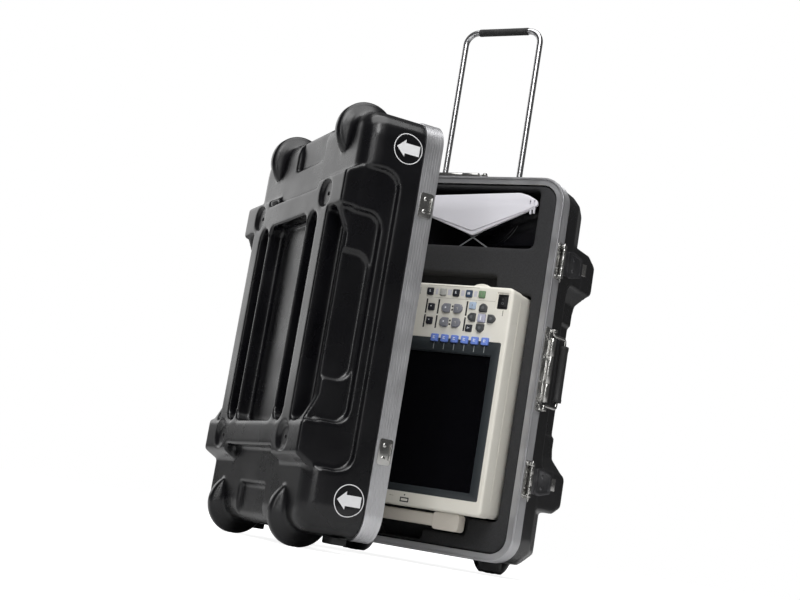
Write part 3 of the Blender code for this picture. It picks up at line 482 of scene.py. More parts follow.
def bent_round(half_w, half_h, corner, section):
    """A bar whose section is (inset, depth), bent round a rounded rectangle in the rim's plane."""
    points = []
    for across, up, start in ((1, 1, 0), (-1, 1, 90), (-1, -1, 180), (1, -1, 270)):
        for i in range(11):
            angle = math.radians(start + 9 * i)
            points.append((across * (half_w - corner) + corner * math.cos(angle),
                           up * (half_h - corner) + corner * math.sin(angle), 0))
    bar = poly_line(points, "2D")
    profile = poly_line([(inset, depth, 0) for inset, depth in section], "2D")
    for line in (bar, profile):
        line.data.fill_mode = "NONE"
        line.data.splines[0].use_cyclic_u = True
    bar.data.bevel_mode = "OBJECT"
    bar.data.bevel_object = profile
    bar = to_mesh(bar)
    bpy.data.objects.remove(profile)
    bar.data.transform(Matrix(((1, 0, 0, 0), (0, 0, 1, 0), (0, 1, 0, 0), (0, 0, 0, 1))))
    outward(bar)
    return bar


def smooth(piece, sharper_than=35):
    select_only(piece)
    bpy.ops.object.shade_smooth_by_angle(angle=math.radians(sharper_than))
    return piece


aluminium = new_finish("satin_aluminium", (0.58, 0.58, 0.595), 0.36, 0.85)
vary(aluminium, (30, 5), 0.28, 0.42)
relief(aluminium, (420, 2, (1, 1, 0.06)), 0.00003, 0.5)
relief(aluminium, (60, 3), 0.00012, 0.25)

GROOVES = (0.0072, 0.0112, 0.0152, 0.0192, 0.0232)
outside = [(0.0, 0.0016)]
for middle in GROOVES:
    outside += [(0, middle - 0.0010), (0.00045, middle - 0.0006), (0.00045, middle + 0.0006),
                (0, middle + 0.0010)]
outside += [(0, 0.0280), (0.0004, 0.0284), (0.0033, 0.0284), (0.0037, 0.0280)]
back_of_lip = [(0.0037, 0.0044), (0.0041, 0.0040), (0.0119, 0.0040), (0.0124, 0.0035), (0.0124, 0.0013),
               (0.0119, 0.0008)]
base_front = [(0.0044, 0.0008), (0.0040, 0.0012), (0.0038, -0.0010), (0.0033, -0.0016), (0.0017, -0.0016),
              (0.0012, -0.0010), (0.0010, 0.0010), (0.0005, 0.0010)]
lid_front = [(0.0049, 0.0008), (0.0044, 0.0013), (0.0044, 0.0029), (0.0006, 0.0029), (0.0005, 0.0016)]
for node, name, layout, front in (("base_valance", "base_rim", BASE, base_front),
                                  ("lid_valance", "lid_rim", LID, lid_front)):
    rim = bent_round(CASE_W / 2, CASE_H / 2, CORNER_R, outside + back_of_lip + front)
    settle(smooth(rim, 40), name, aluminium, node, layout)

# ---- foam inserts ----
# Blocks of dark grey closed-cell foam fill both halves, cut to the shape of what they hold. The cut
# edges are a little soft and the surface shows its fine open grain.
foam_finish = new_finish("grey_foam", (0.034, 0.034, 0.035), 0.95, specular=0.2)
tint(foam_finish, (500, 3), (0.030, 0.030, 0.031), (0.039, 0.039, 0.041))
relief(foam_finish, (900, 2), 0.0003, 0.7)
relief(foam_finish, (45, 3), 0.0008, 0.3)
for node, name, layout in (("base_foam_front", "base_foam_top_layer", BASE),
                           ("base_foam_back", "base_foam_deep_layer", BASE),
                           ("lid_foam", "lid_foam_insert", LID)):
    foam = merged_copy(node, layout)
    modify(foam, "REMESH", mode="VOXEL", voxel_size=0.0034)
    modify(foam, "SMOOTH", factor=0.5, iterations=2)
    clouds = bpy.data.textures.new(name + "_swell", "CLOUDS")
    clouds.noise_scale = 0.03
    modify(foam, "DISPLACE", texture=clouds, texture_coords="LOCAL", strength=0.0011, mid_level=0.9)
    modify(foam, "DECIMATE", ratio=0.45)
    settle(smooth(foam, 60), name, foam_finish, node, layout)

# ---- piano hinge ----
# Two zinc-plated steel leaves with knuckles in turn on one long pin, riveted to the valances on the
# left side of the case.
steel = new_finish("zinc_steel", (0.52, 0.52, 0.53), 0.34, 1.0)
vary(steel, (60, 4), 0.26, 0.44)


def soften(piece, radius, steps=2, sharper_than=28):
    """Round every edge that is sharper than an angle."""
    return modify(piece, "BEVEL", width=radius, segments=steps, limit_method="ANGLE",
                  angle_limit=math.radians(sharper_than), use_clamp_overlap=True)


def eased_copy(node, edge, layout=BASE):
    """A merged copy of a CAD piece with its sharp edges eased to a small radius."""
    return smooth(soften(merged_copy(node, layout), edge))


for node, name, layout, edge in (("hinge_leaf_base", "hinge_base_leaf", BASE, 0.0004),
                                 ("hinge_leaf_lid", "hinge_lid_leaf", LID, 0.0004),
                                 ("hinge_pin", "hinge_long_pin", BASE, 0.0005)):
    settle(eased_copy(node, edge, layout), name, steel, node, layout)

# ---- rubber feet ----
# Moulded rubber blocks that the case stands on under its long edge. Each is held by one screw
# sunk in a round well.
rubber = new_finish("black_rubber", (0.014, 0.014, 0.014), 0.72)
vary(rubber, (50, 4), 0.60, 0.82)
tint(rubber, (24, 4), (0.011, 0.011, 0.011), (0.020, 0.020, 0.021))
relief(rubber, (500, 2), 0.0001, 0.5)


def around(middle, half):
    return (middle - half, middle + half)


def below(axis, level):
    """Picks the edges that lie below a level on an axis."""
    return lambda edge: all(vert.co[axis] < level for vert in edge.verts)


def rod(radius, start, end, sides=32, ease=0.0):
    """A round bar between two points; the edges of its ends may be eased."""
    run = Vector(end) - Vector(start)
    bpy.ops.object.select_all(action="DESELECT")
    bpy.ops.mesh.primitive_cylinder_add(vertices=sides, radius=radius, depth=run.length,
                                        location=(Vector(start) + Vector(end)) / 2,
                                        rotation=run.to_track_quat("Z", "Y").to_euler())
    piece = bpy.context.object
    bpy.ops.object.transform_apply(location=True, rotation=True, scale=True)
    if ease:
        round_edges(piece, ease, 3, lambda edge: any(len(face.verts) > 4 for face in edge.link_faces))
    return piece


FOOT_TOP = -CASE_H / 2 + 0.0012
for node, layout, x, y, bottom in (("base_foot_left", BASE, -0.167, (0.031, 0.047), -0.3180),
                                   ("base_foot_right", BASE, 0.167, (0.031, 0.047), -0.3180),
                                   ("lid_foot_left", LID, 0.167, (0.034, 0.058), -0.3130),
                                   ("lid_foot_right", LID, -0.167, (0.034, 0.058), -0.3130)):
    middle = (y[0] + y[1]) / 2
    foot = block(around(x, 0.018), y, (bottom, FOOT_TOP), 0.004, along=2)
    round_edges(foot, 0.0022, 3, below(2, bottom + 0.0001))
    for side in (-1, 1):
        line = x + side * 0.0115
        carve(foot, block(around(line, 0.0006), y, (bottom - 0.001, bottom + 0.0009)))
    carve(foot, rod(0.0048, (x, middle, bottom - 0.001), (x, middle, bottom + 0.0034)))
    screw = rod(0.0042, (x, middle, bottom + 0.0012), (x, middle, bottom + 0.0050), ease=0.0008)
    carve(screw, block(around(x, 0.0036), around(middle, 0.0005), (bottom, bottom + 0.0022)))
    settle(smooth(together(foot, screw)), node + "_block", rubber, node, layout)

# ---- wheels ----
# Solid black wheels with a dished hub, on one steel axle across the case. They sit in slots in the
# two lower bumpers, so that the case rolls when it is tipped back.
WHEEL_AT = (0.1285, 0.128, -0.279)
HOLE_RING = 0.0220
half_tyre = [(0.0043, 0.0106), (0.0122, 0.0106), (0.0132, 0.0098), (0.0150, 0.0074), (0.0288, 0.0068),
             (0.0302, 0.0076), (0.0310, 0.0100), (0.0320, 0.0109), (0.0400, 0.0110), (0.0424, 0.0102),
             (0.0436, 0.0084), (0.0440, 0.0050), (0.0440, 0.0026), (0.0433, 0.0018)]
for node, side in (("wheel_left", -1), ("wheel_right", 1)):
    wheel = lathe(mirrored(half_tyre), (side * WHEEL_AT[0], WHEEL_AT[1], WHEEL_AT[2]), steps=64)
    holes = []
    for i in range(5):
        angle = math.tau * i / 5
        y = WHEEL_AT[1] + HOLE_RING * math.cos(angle)
        z = WHEEL_AT[2] + HOLE_RING * math.sin(angle)
        holes.append(rod(0.0044, (side * WHEEL_AT[0] - 0.02, y, z), (side * WHEEL_AT[0] + 0.02, y, z)))
    carve(wheel, together(*holes))
    settle(smooth(wheel), node + "_tyre", rubber, node)
settle(eased_copy("wheel_axle", 0.0005), "axle", steel, "wheel_axle")

# ---- pull handle ----
# A bent aluminium tube that slides in two black sleeves inside the back of the case. A thin rubber
# grip is pushed over its cross bar.
black_plastic = new_finish("black_plastic", (0.012, 0.012, 0.013), 0.42)
vary(black_plastic, (40, 4), 0.34, 0.50)
relief(black_plastic, (700, 2), 0.00006, 0.5)
tube_finish = new_finish("drawn_aluminium", (0.56, 0.56, 0.57), 0.26, 1.0)
vary(tube_finish, (70, 4, (1, 1, 0.08)), 0.20, 0.27)
relief(tube_finish, (900, 2, (1, 1, 0.03)), 0.000003, 0.4)


def eased_line(corners, radius):
    """A line through corners, with each inner corner rounded in eight steps."""
    corners = [Vector(corner) for corner in corners]
    line = [corners[0]]
    for before, at, after in zip(corners, corners[1:], corners[2:]):
        trim = min(radius, (before - at).length * 0.49, (after - at).length * 0.49)
        start = at + (before - at).normalized() * trim
        end = at + (after - at).normalized() * trim
        for i in range(9):
            t = i / 8
            line.append(start * (1 - t) ** 2 + at * 2 * t * (1 - t) + end * t * t)
    line.append(corners[-1])
    return line


def bent_bar(points, radius, fineness):
    """A round bar along a line of points, closed at both ends."""
    bar = poly_line(points, "3D")
    bar.data.bevel_depth = radius
    bar.data.bevel_resolution = fineness
    bar.data.use_fill_caps = True
    bar = to_mesh(bar)
    outward(bar)
    return bar


PULL_X = 0.072
PULL_Y = 0.130
PULL_FOOT = 0.150
PULL_TOP = 0.610
PULL_CORNER = 0.023
line = [Vector((-PULL_X, PULL_Y, PULL_FOOT))]
for side, start in ((-1, 180), (1, 90)):
    for i in range(13):
        angle = math.radians(start - 90 * i / 12)
        line.append(Vector((side * (PULL_X - PULL_CORNER) + PULL_CORNER * math.cos(angle), PULL_Y,
                            PULL_TOP - PULL_CORNER + PULL_CORNER * math.sin(angle))))
line.append(Vector((PULL_X, PULL_Y, PULL_FOOT)))
settle(smooth(bent_bar(line, 0.0052, 7), 60), "pull_handle_tube", tube_finish, "pull_tube")

half_grip = [(0.0055, 0.0470), (0.0060, 0.0470), (0.0064, 0.0466), (0.0066, 0.0458), (0.0066, 0.0432),
             (0.0063, 0.0428), (0.0063, 0.0424), (0.0066, 0.0420), (0.0066, 0.0400), (0.0063, 0.0396),
             (0.0063, 0.0392), (0.0065, 0.0388), (0.0065, 0.0100)]
grip = lathe(mirrored(half_grip), (0, PULL_Y, PULL_TOP), steps=40)
settle(smooth(grip, 50), "pull_handle_grip", rubber, "pull_grip")
settle(eased_copy("handle_guide", 0.0005), "pull_handle_sleeves", black_plastic, "handle_guide")

# ---- carry handles ----
# A chromed plate is riveted to the rim, with its edge rolled into a hinge barrel. The bent wire
# bail turns in the barrel and carries a moulded grip; one is on the free side and one on top.
chrome = new_finish("nickel_chrome", (0.46, 0.455, 0.44), 0.20, 1.0)
vary(chrome, (80, 4), 0.17, 0.25)
relief(chrome, (160, 3), 0.00001, 0.2)
WALL = BASE @ Matrix.Translation((CASE_W / 2 + 0.0003, 0, 0))
TOP = BASE @ Matrix.Translation((0, 0, CASE_H / 2 + 0.0003)) @ Matrix.Rotation(-math.pi / 2, 4, "Y")
BARREL_OUT = 0.0068
BARREL_Y = 0.0230
BAIL_HALF = 0.055
BAIL_Y = 0.0580
BAIL_OUT = 0.0125


def rivet(radius, height, place):
    """A domed rivet head that stands on a face that looks along X."""
    dome = [(0, height), (radius * 0.45, height * 0.94), (radius * 0.80, height * 0.66),
            (radius, height * 0.22), (radius, -0.0004), (0, -0.0004)]
    return lathe(dome, place, along=0, steps=20)


for prefix, layout in (("side_handle", WALL), ("top_handle", TOP)):
    plate = block((0, 0.0015), (0.0035, 0.0275), (-0.066, 0.066), 0.0030, along=0)
    web = block((0.0008, BARREL_OUT), (BARREL_Y - 0.0049, BARREL_Y - 0.0022), (-0.0635, 0.0635))
    carve(plate, web, "UNION")
    barrel = rod(0.0050, (BARREL_OUT, BARREL_Y, -0.064), (BARREL_OUT, BARREL_Y, 0.064), ease=0.0006)
    carve(plate, barrel, "UNION")
    carve(plate, rod(0.0030, (BARREL_OUT, BARREL_Y, -0.08), (BARREL_OUT, BARREL_Y, 0.08)))
    for side in (-1, 1):
        carve(plate, block((0.0018, 0.03), around(BARREL_Y, 0.008),
                           sided(side, BAIL_HALF - 0.005, BAIL_HALF + 0.0045)))
        carve(plate, block((0.0030, 0.03), around(BARREL_Y, 0.008), sided(side, 0.0212, 0.0220)))
    soften(plate, 0.0003, 2, 50)
    heads = [rivet(0.0030, 0.0014, (0.0015, 0.0090, z)) for z in (-0.052, -0.019, 0.019, 0.052)]
    settle(smooth(together(plate, *heads)), prefix + "_hinge_plate", chrome, prefix + "_plate", layout)

    corners = [(BARREL_OUT, BARREL_Y, 0.062), (BARREL_OUT, BARREL_Y, BAIL_HALF),
               (BAIL_OUT - 0.002, BAIL_Y - 0.014, BAIL_HALF), (BAIL_OUT, BAIL_Y - 0.002, BAIL_HALF),
               (BAIL_OUT, BAIL_Y, BAIL_HALF - 0.009), (BAIL_OUT, BAIL_Y, 0)]
    corners += [(x, y, -z) for x, y, z in reversed(corners[:-1])]
    bail = bent_bar(eased_line(corners, 0.0045), 0.0026, 5)
    settle(smooth(bail, 60), prefix + "_wire", chrome, prefix + "_bail", layout)

    grip = block(around(BAIL_OUT, 0.0058), around(BAIL_Y, 0.0078), (-0.0442, 0.0442), 0.0048, along=2,
                 steps=6)
    for side in (-1, 1):
        collar = block(around(BAIL_OUT, 0.0062), around(BAIL_Y, 0.0082), sided(side, 0.0385, 0.0445),
                       0.0050, along=2, steps=6)
        carve(grip, collar, "UNION")
    carve(grip, block((BAIL_OUT + 0.0049, BAIL_OUT + 0.01), around(BAIL_Y, 0.0044), (-0.034, 0.034), 0.0030,
                      along=0))
    soften(grip, 0.0005, 2, 40)
    carve(grip, rod(0.0029, (BAIL_OUT, BAIL_Y, -0.06), (BAIL_OUT, BAIL_Y, 0.06), 24))
    settle(smooth(grip, 40), prefix + "_moulded_grip", rubber, prefix + "_grip", layout)

# ---- latches ----
# Two draw latches on the free side. Each has a plated base with two ears and hooks, a long pin
# through them, and a pressed steel lever that ends in a bright finger tab.
dark_steel = new_finish("dark_plated_steel", (0.10, 0.10, 0.105), 0.38, 0.9)
vary(dark_steel, (60, 4), 0.28, 0.48)
tint(dark_steel, (35, 4), (0.075, 0.075, 0.08), (0.15, 0.15, 0.155))
PIN_AT = (0.0055, 0.0180)
HANG = math.radians(17.0)


def prism(outline, along, low, high):
    """A plate with an outline in the other two axes, between limits along one axis."""
    across, up = [axis for axis in range(3) if axis != along]
    corners = []
    for first, second in outline:
        corner = [low, low, low]
        corner[across] = first
        corner[up] = second
        corners.append(corner)
    piece = shape(corners, [], [range(len(corners))])
    step = [0, 0, 0]
    step[along] = high - low
    edit(piece)
    bpy.ops.mesh.extrude_region_move(TRANSFORM_OT_translate={"value": step})
    bpy.ops.mesh.select_all(action="SELECT")
    bpy.ops.mesh.normals_make_consistent(inside=False)
    done()
    return piece


for word, level in (("upper", 0.172), ("lower", -0.172)):
    seat = WALL @ Matrix.Translation((0, 0, level))
    plate = block((0, 0.0014), (0.0030, 0.0270), (-0.029, 0.029), 0.0035, along=0)
    for side in (-1, 1):
        ear = block((0.0004, 0.0088), (0.0135, 0.0225), sided(side, 0.0215, 0.0265), 0.0030, along=2)
        carve(plate, ear, "UNION")
        hook = prism([(0.0004, 0.0045), (0.0052, 0.0045), (0.0062, 0.0056), (0.0058, 0.0095),
                      (0.0040, 0.0095), (0.0036, 0.0070), (0.0004, 0.0095)], 2,
                     *sided(side, 0.0225, 0.0255))
        carve(plate, hook, "UNION")
    carve(plate, rod(0.0019, (*PIN_AT, -0.05), (*PIN_AT, 0.05), 20))
    soften(plate, 0.0003, 2, 50)
    heads = [rivet(0.0028, 0.0012, (0.0014, y, z)) for y, z in ((0.0082, -0.012), (0.0082, 0.012))]
    settle(smooth(together(plate, *heads)), f"latch_{word}_base", chrome, f"latch_plate_{word}", seat)

    swing = seat @ Matrix.Translation((*PIN_AT, 0)) @ Matrix.Rotation(-HANG, 4, "Z")
    spindle = lathe([(0, 0.0300), (0.0011, 0.0297), (0.0015, 0.0290), (0.0015, -0.0285), (0.0005, -0.0330),
                     (0, -0.0330)], (0, 0, 0), along=2, steps=20)
    collars = [rod(0.0034, (0, 0, low), (0, 0, high), 24, ease=0.0004)
               for low, high in ((-0.0208, -0.0092), (-0.0086, 0.0086), (0.0092, 0.0208))]
    tab = prism([(-0.0008, 0.0440), (0.0018, 0.0440), (0.0020, 0.0530), (0.0028, 0.0560), (0.0022, 0.0575),
                 (0.0006, 0.0572), (-0.0006, 0.0540)], 2, -0.0095, 0.0095)
    soften(tab, 0.0003, 2, 30)
    settle(smooth(together(spindle, *collars, tab)), f"latch_{word}_pin_and_tab", chrome,
           f"latch_lever_{word}", swing)
    plate = prism([(0.010, -0.0195), (0.020, -0.0215), (0.046, -0.0150), (0.046, 0.0150), (0.020, 0.0215),
                   (0.010, 0.0195)], 0, -0.0015, 0.0037)
    round_edges(plate, 0.0022, 4, runs(0))
    panel = prism([(0.015, -0.0150), (0.021, -0.0165), (0.041, -0.0115), (0.041, 0.0115), (0.021, 0.0165),
                   (0.015, 0.0150)], 0, 0.0026, 0.0060)
    round_edges(panel, 0.0020, 3, runs(0))
    carve(plate, panel)
    carve(plate, block((-0.0012, 0.0012), (0.0015, 0.0115), (-0.0200, 0.0200)), "UNION")
    soften(plate, 0.0005, 2, 40)
    bosses = [rivet(0.0030, 0.0012, (0.0024, 0.024, z)) for z in (-0.009, 0.009)]
    settle(smooth(together(plate, *bosses)), f"latch_{word}_lever", dark_steel, f"latch_lever_{word}",
           swing)

# ---- strikes ----
# The catch plates that the latches pull on, riveted to the lid's rim, each with a rolled lip.
LID_WALL = -CASE_W / 2 - 0.0003
for word, level in (("upper", 0.177), ("lower", -0.177)):
    plate = block((LID_WALL - 0.0014, LID_WALL), (0.0045, 0.0250), around(level, 0.018), 0.0035, along=0)
    web = block((LID_WALL - 0.0034, LID_WALL - 0.0006), (0.0066, 0.0084), around(level, 0.0112))
    carve(plate, web, "UNION")
    roll = rod(0.0017, (LID_WALL - 0.0033, 0.0073, level - 0.0114),
               (LID_WALL - 0.0033, 0.0073, level + 0.0114), 24, ease=0.0004)
    carve(plate, roll, "UNION")
    soften(plate, 0.0003, 2, 50)
    heads = []
    for z in around(level, 0.009):
        head = rivet(0.0030, 0.0013, (0, 0, 0))
        seat = Matrix.Translation((LID_WALL - 0.0014, 0.0168, z))
        head.data.transform(seat @ Matrix.Rotation(math.pi, 4, "Z"))
        heads.append(head)
    settle(smooth(together(plate, *heads)), f"strike_{word}_plate", chrome, f"strike_{word}", LID)

# ---- scanner body ----
# Two injection-moulded halves in warm beige with a fine spark texture, screwed together from
# behind. The front half carries the screen and keypad; two round hubs rise from its top edge.
beige = new_finish("beige_plastic", (0.79, 0.765, 0.69), 0.44)
tint(beige, (14, 4), (0.775, 0.75, 0.67), (0.805, 0.78, 0.705))
vary(beige, (60, 4), 0.38, 0.52)
relief(beige, (950, 2), 0.00005, 0.5)
SCAN_X = (-0.145, 0.182)
SCAN_Z = (-0.241, 0.1106)
SCAN_FRONT = -0.055
SCAN_SEAM = -0.020
SCAN_BACK = 0.034
FRAME_X = (-0.1363, 0.1733)
FRAME_Z = (-0.2194, 0.0239)
LCD_X = (-0.1212, 0.1586)
LCD_Z = (-0.208, 0.0017)
STRAP_X = (-0.087, 0.124)
HUB_Z = 0.089
HUB_R = 0.026
ROCKER = (0.1654, 0.0880)
BEZEL_HALF = (0.00845, 0.01135)
POCKET_X = (0.1543, 0.1746)
POCKET_Z = (0.0760, 0.1023)
KEY_FRONT = -0.0585
KEY_BACK = -0.0465
SOFT_KEYS = {f"soft_key_{i + 1}": (0.0590 + 0.01748 * i, 0.0238) for i in range(6)}
RANGE_KEYS = {"range_key_1": (0.0707, 0.0720, -1), "range_key_2": (0.0920, 0.0720, 1),
              "range_key_3": (0.0707, 0.0497, -1), "range_key_4": (0.0920, 0.0497, 1)}
CURSOR_KEYS = {"cursor_up": (0.1349, 0.0763, 90), "cursor_left": (0.1172, 0.0604, 180),
               "cursor_right": (0.1515, 0.0598, 0), "cursor_down": (0.1341, 0.0439, 270)}
SELECT_KEY = (0.1346, 0.0596)
SMALL_KEYS = {"dark": [(-0.0071, 0.0972), (0.0383, 0.0972), (0.0838, 0.0970), (0.0443, 0.0722),
                       (0.0443, 0.0503), (0.1146, 0.0428)], "pale": [(0.0156, 0.0972), (0.0611, 0.0972)],
              "navy": [(0.1066, 0.0971)], "green": [(0.1289, 0.0972)], "sky": [(0.1157, 0.0787)]}


def square(at, half):
    return [(at[0] - half, at[1] - half), (at[0] + half, at[1] - half), (at[0] + half, at[1] + half),
            (at[0] - half, at[1] + half)]


def nosed(at, half, cut, nose, degrees):
    """A square outline whose side in one direction is drawn to a nose."""
    corners = [(-half, -half), (half - cut, -half), (half, -nose), (half, nose), (half - cut, half),
               (-half, half)]
    cosine = math.cos(math.radians(degrees))
    sine = math.sin(math.radians(degrees))
    return [(at[0] + x * cosine - z * sine, at[1] + x * sine + z * cosine) for x, z in corners]


def key_shapes(grow):
    """The outline of every key on the panel, grown by a gap, by the key's name."""
    shapes = {name: square(at, 0.0058 + grow) for name, at in SOFT_KEYS.items()}
    for name, (x, z, side) in RANGE_KEYS.items():
        shapes[name] = nosed((x, z), 0.0070 + grow, 0.0040, 0.0026, 0 if side > 0 else 180)
    for name, (x, z, degrees) in CURSOR_KEYS.items():
        shapes[name] = nosed((x, z), 0.0064 + grow, 0.0045, 0.0017, degrees)
    shapes["cursor_select"] = square(SELECT_KEY, 0.0063 + grow)
    for colour, places in SMALL_KEYS.items():
        for i, at in enumerate(places):
            shapes[f"{colour}_{i}"] = square(at, 0.0055 + grow)
    return shapes


def key_holes(outlines):
    """Tools that cut the holes of keys through the panel, as one."""
    holes = [prism(outline, 1, -0.07, -0.048) for outline in outlines]
    for hole in holes:
        round_edges(hole, 0.0014, 3, upright)
    return together(*holes)


def inset(limits, gap):
    """Limits drawn in by a gap at both ends."""
    return (limits[0] + gap, limits[1] - gap)


upright = runs(1)
front = block(SCAN_X, (SCAN_FRONT, SCAN_SEAM), SCAN_Z, 0.009, steps=8)
round_edges(front, 0.0042, 5, below(1, SCAN_FRONT + 0.00001))
for x in STRAP_X:
    hub = rod(HUB_R, (x, SCAN_FRONT + 0.004, HUB_Z), (x, SCAN_SEAM - 0.002, HUB_Z), 64, ease=0.0016)
    carve(front, hub, "UNION")
carve(front, block(inset(SCAN_X, 0.003), (SCAN_FRONT + 0.003, 0.0), inset(SCAN_Z, 0.003), 0.006))
carve(front, block(inset(FRAME_X, -0.0003), (-0.08, -0.045), inset(FRAME_Z, -0.0003), 0.003))
carve(front, key_holes(key_shapes(0.0004).values()))
carve(front, block(POCKET_X, (-0.08, SCAN_FRONT + 0.0016), POCKET_Z, 0.002))
carve(front, block(around(ROCKER[0], BEZEL_HALF[0] + 0.0003), (-0.08, -0.045),
                   around(ROCKER[1], BEZEL_HALF[1] + 0.0003), 0.0015))
groove = block((SCAN_X[1] - 0.0008, SCAN_X[1] + 0.002), (SCAN_FRONT + 0.010, SCAN_SEAM + 0.001),
               (0.0572, 0.0582))
carve(front, groove)
carve(front, block((SCAN_X[1] - 0.0010, SCAN_X[1] + 0.002), (-0.0262, -0.0248), (-0.215, 0.0960)))
bump = rivet(0.0042, 0.0006, (SCAN_X[1] - 0.0005, -0.0380, -0.175))
settle(smooth(together(front, bump), 32), "scanner_front_half", beige, "scanner_front_shell")

rear = block(inset(SCAN_X, 0.0012), (SCAN_SEAM + 0.0003, SCAN_BACK), inset(SCAN_Z, 0.0012), 0.008, steps=6)
round_edges(rear, 0.008, 5, lambda edge: all(vert.co.y > SCAN_BACK - 0.00001 for vert in edge.verts))
carve(rear, block(inset(SCAN_X, 0.0042), (-0.08, SCAN_BACK - 0.003), inset(SCAN_Z, 0.0042), 0.006))
vents = [block((-0.110 + 0.012 * i, -0.105 + 0.012 * i), (0.02, 0.05), (-0.060, 0.020), 0.0024)
         for i in range(8)]
carve(rear, together(*vents))
for x in (-0.125, 0.162):
    for z in (-0.221, 0.090):
        carve(rear, rod(0.0045, (x, SCAN_BACK - 0.0022, z), (x, SCAN_BACK + 0.01, z)))
carve(rear, block((0.030, 0.150), (SCAN_BACK - 0.0012, SCAN_BACK + 0.01), (-0.190, -0.110), 0.004))
settle(smooth(rear, 32), "scanner_rear_half", beige, "scanner_rear_shell")

# ---- screen ----
# A slate-blue surround is glued into the front half round the display, with a pale line under each
# soft key. The display itself is dark and glossy; the main board sits behind it.
slate = new_finish("slate_plastic", (0.028, 0.034, 0.037), 0.42)
tint(slate, (20, 4), (0.026, 0.031, 0.034), (0.031, 0.037, 0.041))
relief(slate, (900, 2), 0.00005, 0.5)
glass = new_finish("screen_glass", (0.003, 0.003, 0.004), 0.10, specular=0.3)
vary(glass, (8, 3), 0.08, 0.16)
board = new_finish("board", (0.03, 0.16, 0.06), 0.5)
tint(board, (120, 2), (0.02, 0.12, 0.045), (0.04, 0.20, 0.07))
pale_print = new_finish("pale_print", (0.36, 0.38, 0.38), 0.5)
vary(pale_print, (200, 2), 0.42, 0.58)

surround = block(FRAME_X, (SCAN_FRONT, -0.0505), FRAME_Z, 0.0027, steps=4)
carve(surround, block(LCD_X, (-0.08, -0.04), LCD_Z, 0.001, steps=1))
slope = block(inset(LCD_X, -0.0016), (SCAN_FRONT - 0.01, SCAN_FRONT + 0.0012), inset(LCD_Z, -0.0016), 0.002)
carve(surround, slope)
carve(surround, key_holes(square(at, 0.0062) for at in SOFT_KEYS.values()))
soften(surround, 0.0004, 2, 40)
settle(smooth(surround), "screen_bezel", slate, "screen_surround")
lines = [block(around(x, 0.0005), (SCAN_FRONT - 0.0001, SCAN_FRONT + 0.0002), (0.0062, 0.0166))
         for x, _ in SOFT_KEYS.values()]
settle(together(*lines), "soft_key_lines", pale_print, "screen_surround")
panel = block(inset(LCD_X, -0.006), (-0.0502, -0.0425), (LCD_Z[0] - 0.006, LCD_Z[1] + 0.005), 0.001,
              steps=2)
carve(panel, block(inset(LCD_X, 0.0022), (-0.06, -0.0499), inset(LCD_Z, 0.0022)))
soften(panel, 0.0002, 2, 40)
settle(smooth(panel), "display_panel", glass, "lcd_panel")
settle(eased_copy("main_board", 0.0003), "circuit_board", board, "main_board")

# ---- keys ----
# Moulded caps and silicone keys stand in their holes in the panel: blue soft keys, grey range keys
# with one drawn side, dark cursor keys that point their ways, and small keys on one mat.
key_finishes = {}
for word, slot, *colour in (("blue", "blue_key", 0.165, 0.27, 0.74), ("grey", "grey_key", 0.235, 0.24, 0.27),
                            ("charcoal", "grey_key", 0.062, 0.064, 0.066),
                            ("lilac", "pale_blue_key", 0.44, 0.44, 0.55),
                            ("dark", "dark_key", 0.022, 0.023, 0.030), ("pale", None, 0.50, 0.50, 0.47),
                            ("navy", "dark_key", 0.040, 0.065, 0.11), ("green", None, 0.17, 0.28, 0.155),
                            ("sky", "pale_blue_key", 0.42, 0.52, 0.66), ("white", None, 0.80, 0.82, 0.86),
                            ("black", None, 0.008, 0.008, 0.009), ("lavender", None, 0.62, 0.61, 0.66),
                            ("dim", None, 0.14, 0.145, 0.15), ("mark", None, 0.30, 0.28, 0.22)):
    cap = new_finish("key_" + word, colour, 0.45)
    tint(cap, (260, 3), tuple(0.92 * part for part in colour), tuple(1.06 * part for part in colour))
    vary(cap, (120, 3), 0.38, 0.54)
    key_finishes[word] = cap


def key_cap(outline, front_at, back_at, corner):
    """A key with rounded corners and an eased rim."""
    cap = prism(outline, 1, front_at, back_at)
    round_edges(cap, corner, 4, upright)
    round_edges(cap, 0.0007, 3, below(1, front_at + 0.00001))
    return smooth(cap, 32)


def print_on(name, node, colour, front_at, *outlines):
    """Flat printed marks on a face that looks to the front."""
    marks = [prism(outline, 1, front_at - 0.00008, front_at + 0.0002) for outline in outlines]
    settle(together(*marks), name, key_finishes[colour], node)


def key(name, colour, corner, mark_colour, *marks):
    """A key that moves on its own, and the print on it."""
    settle(key_cap(shapes[name], KEY_FRONT, KEY_BACK, corner), name + "_cap", key_finishes[colour], name)
    print_on(name + "_mark", name, mark_colour, KEY_FRONT, *marks)


def strip(x, z, wide, tall, lean=0.0):
    """A strip about a point, as an outline; its upper end may lean to the side."""
    return [(x - wide / 2, z - tall / 2), (x + wide / 2, z - tall / 2), (x + wide / 2 + lean, z + tall / 2),
            (x - wide / 2 + lean, z + tall / 2)]


def circle(x, z, radius, sides=12):
    """A round outline about a point."""
    return [(x + radius * math.cos(math.tau * i / sides), z + radius * math.sin(math.tau * i / sides))
            for i in range(sides)]


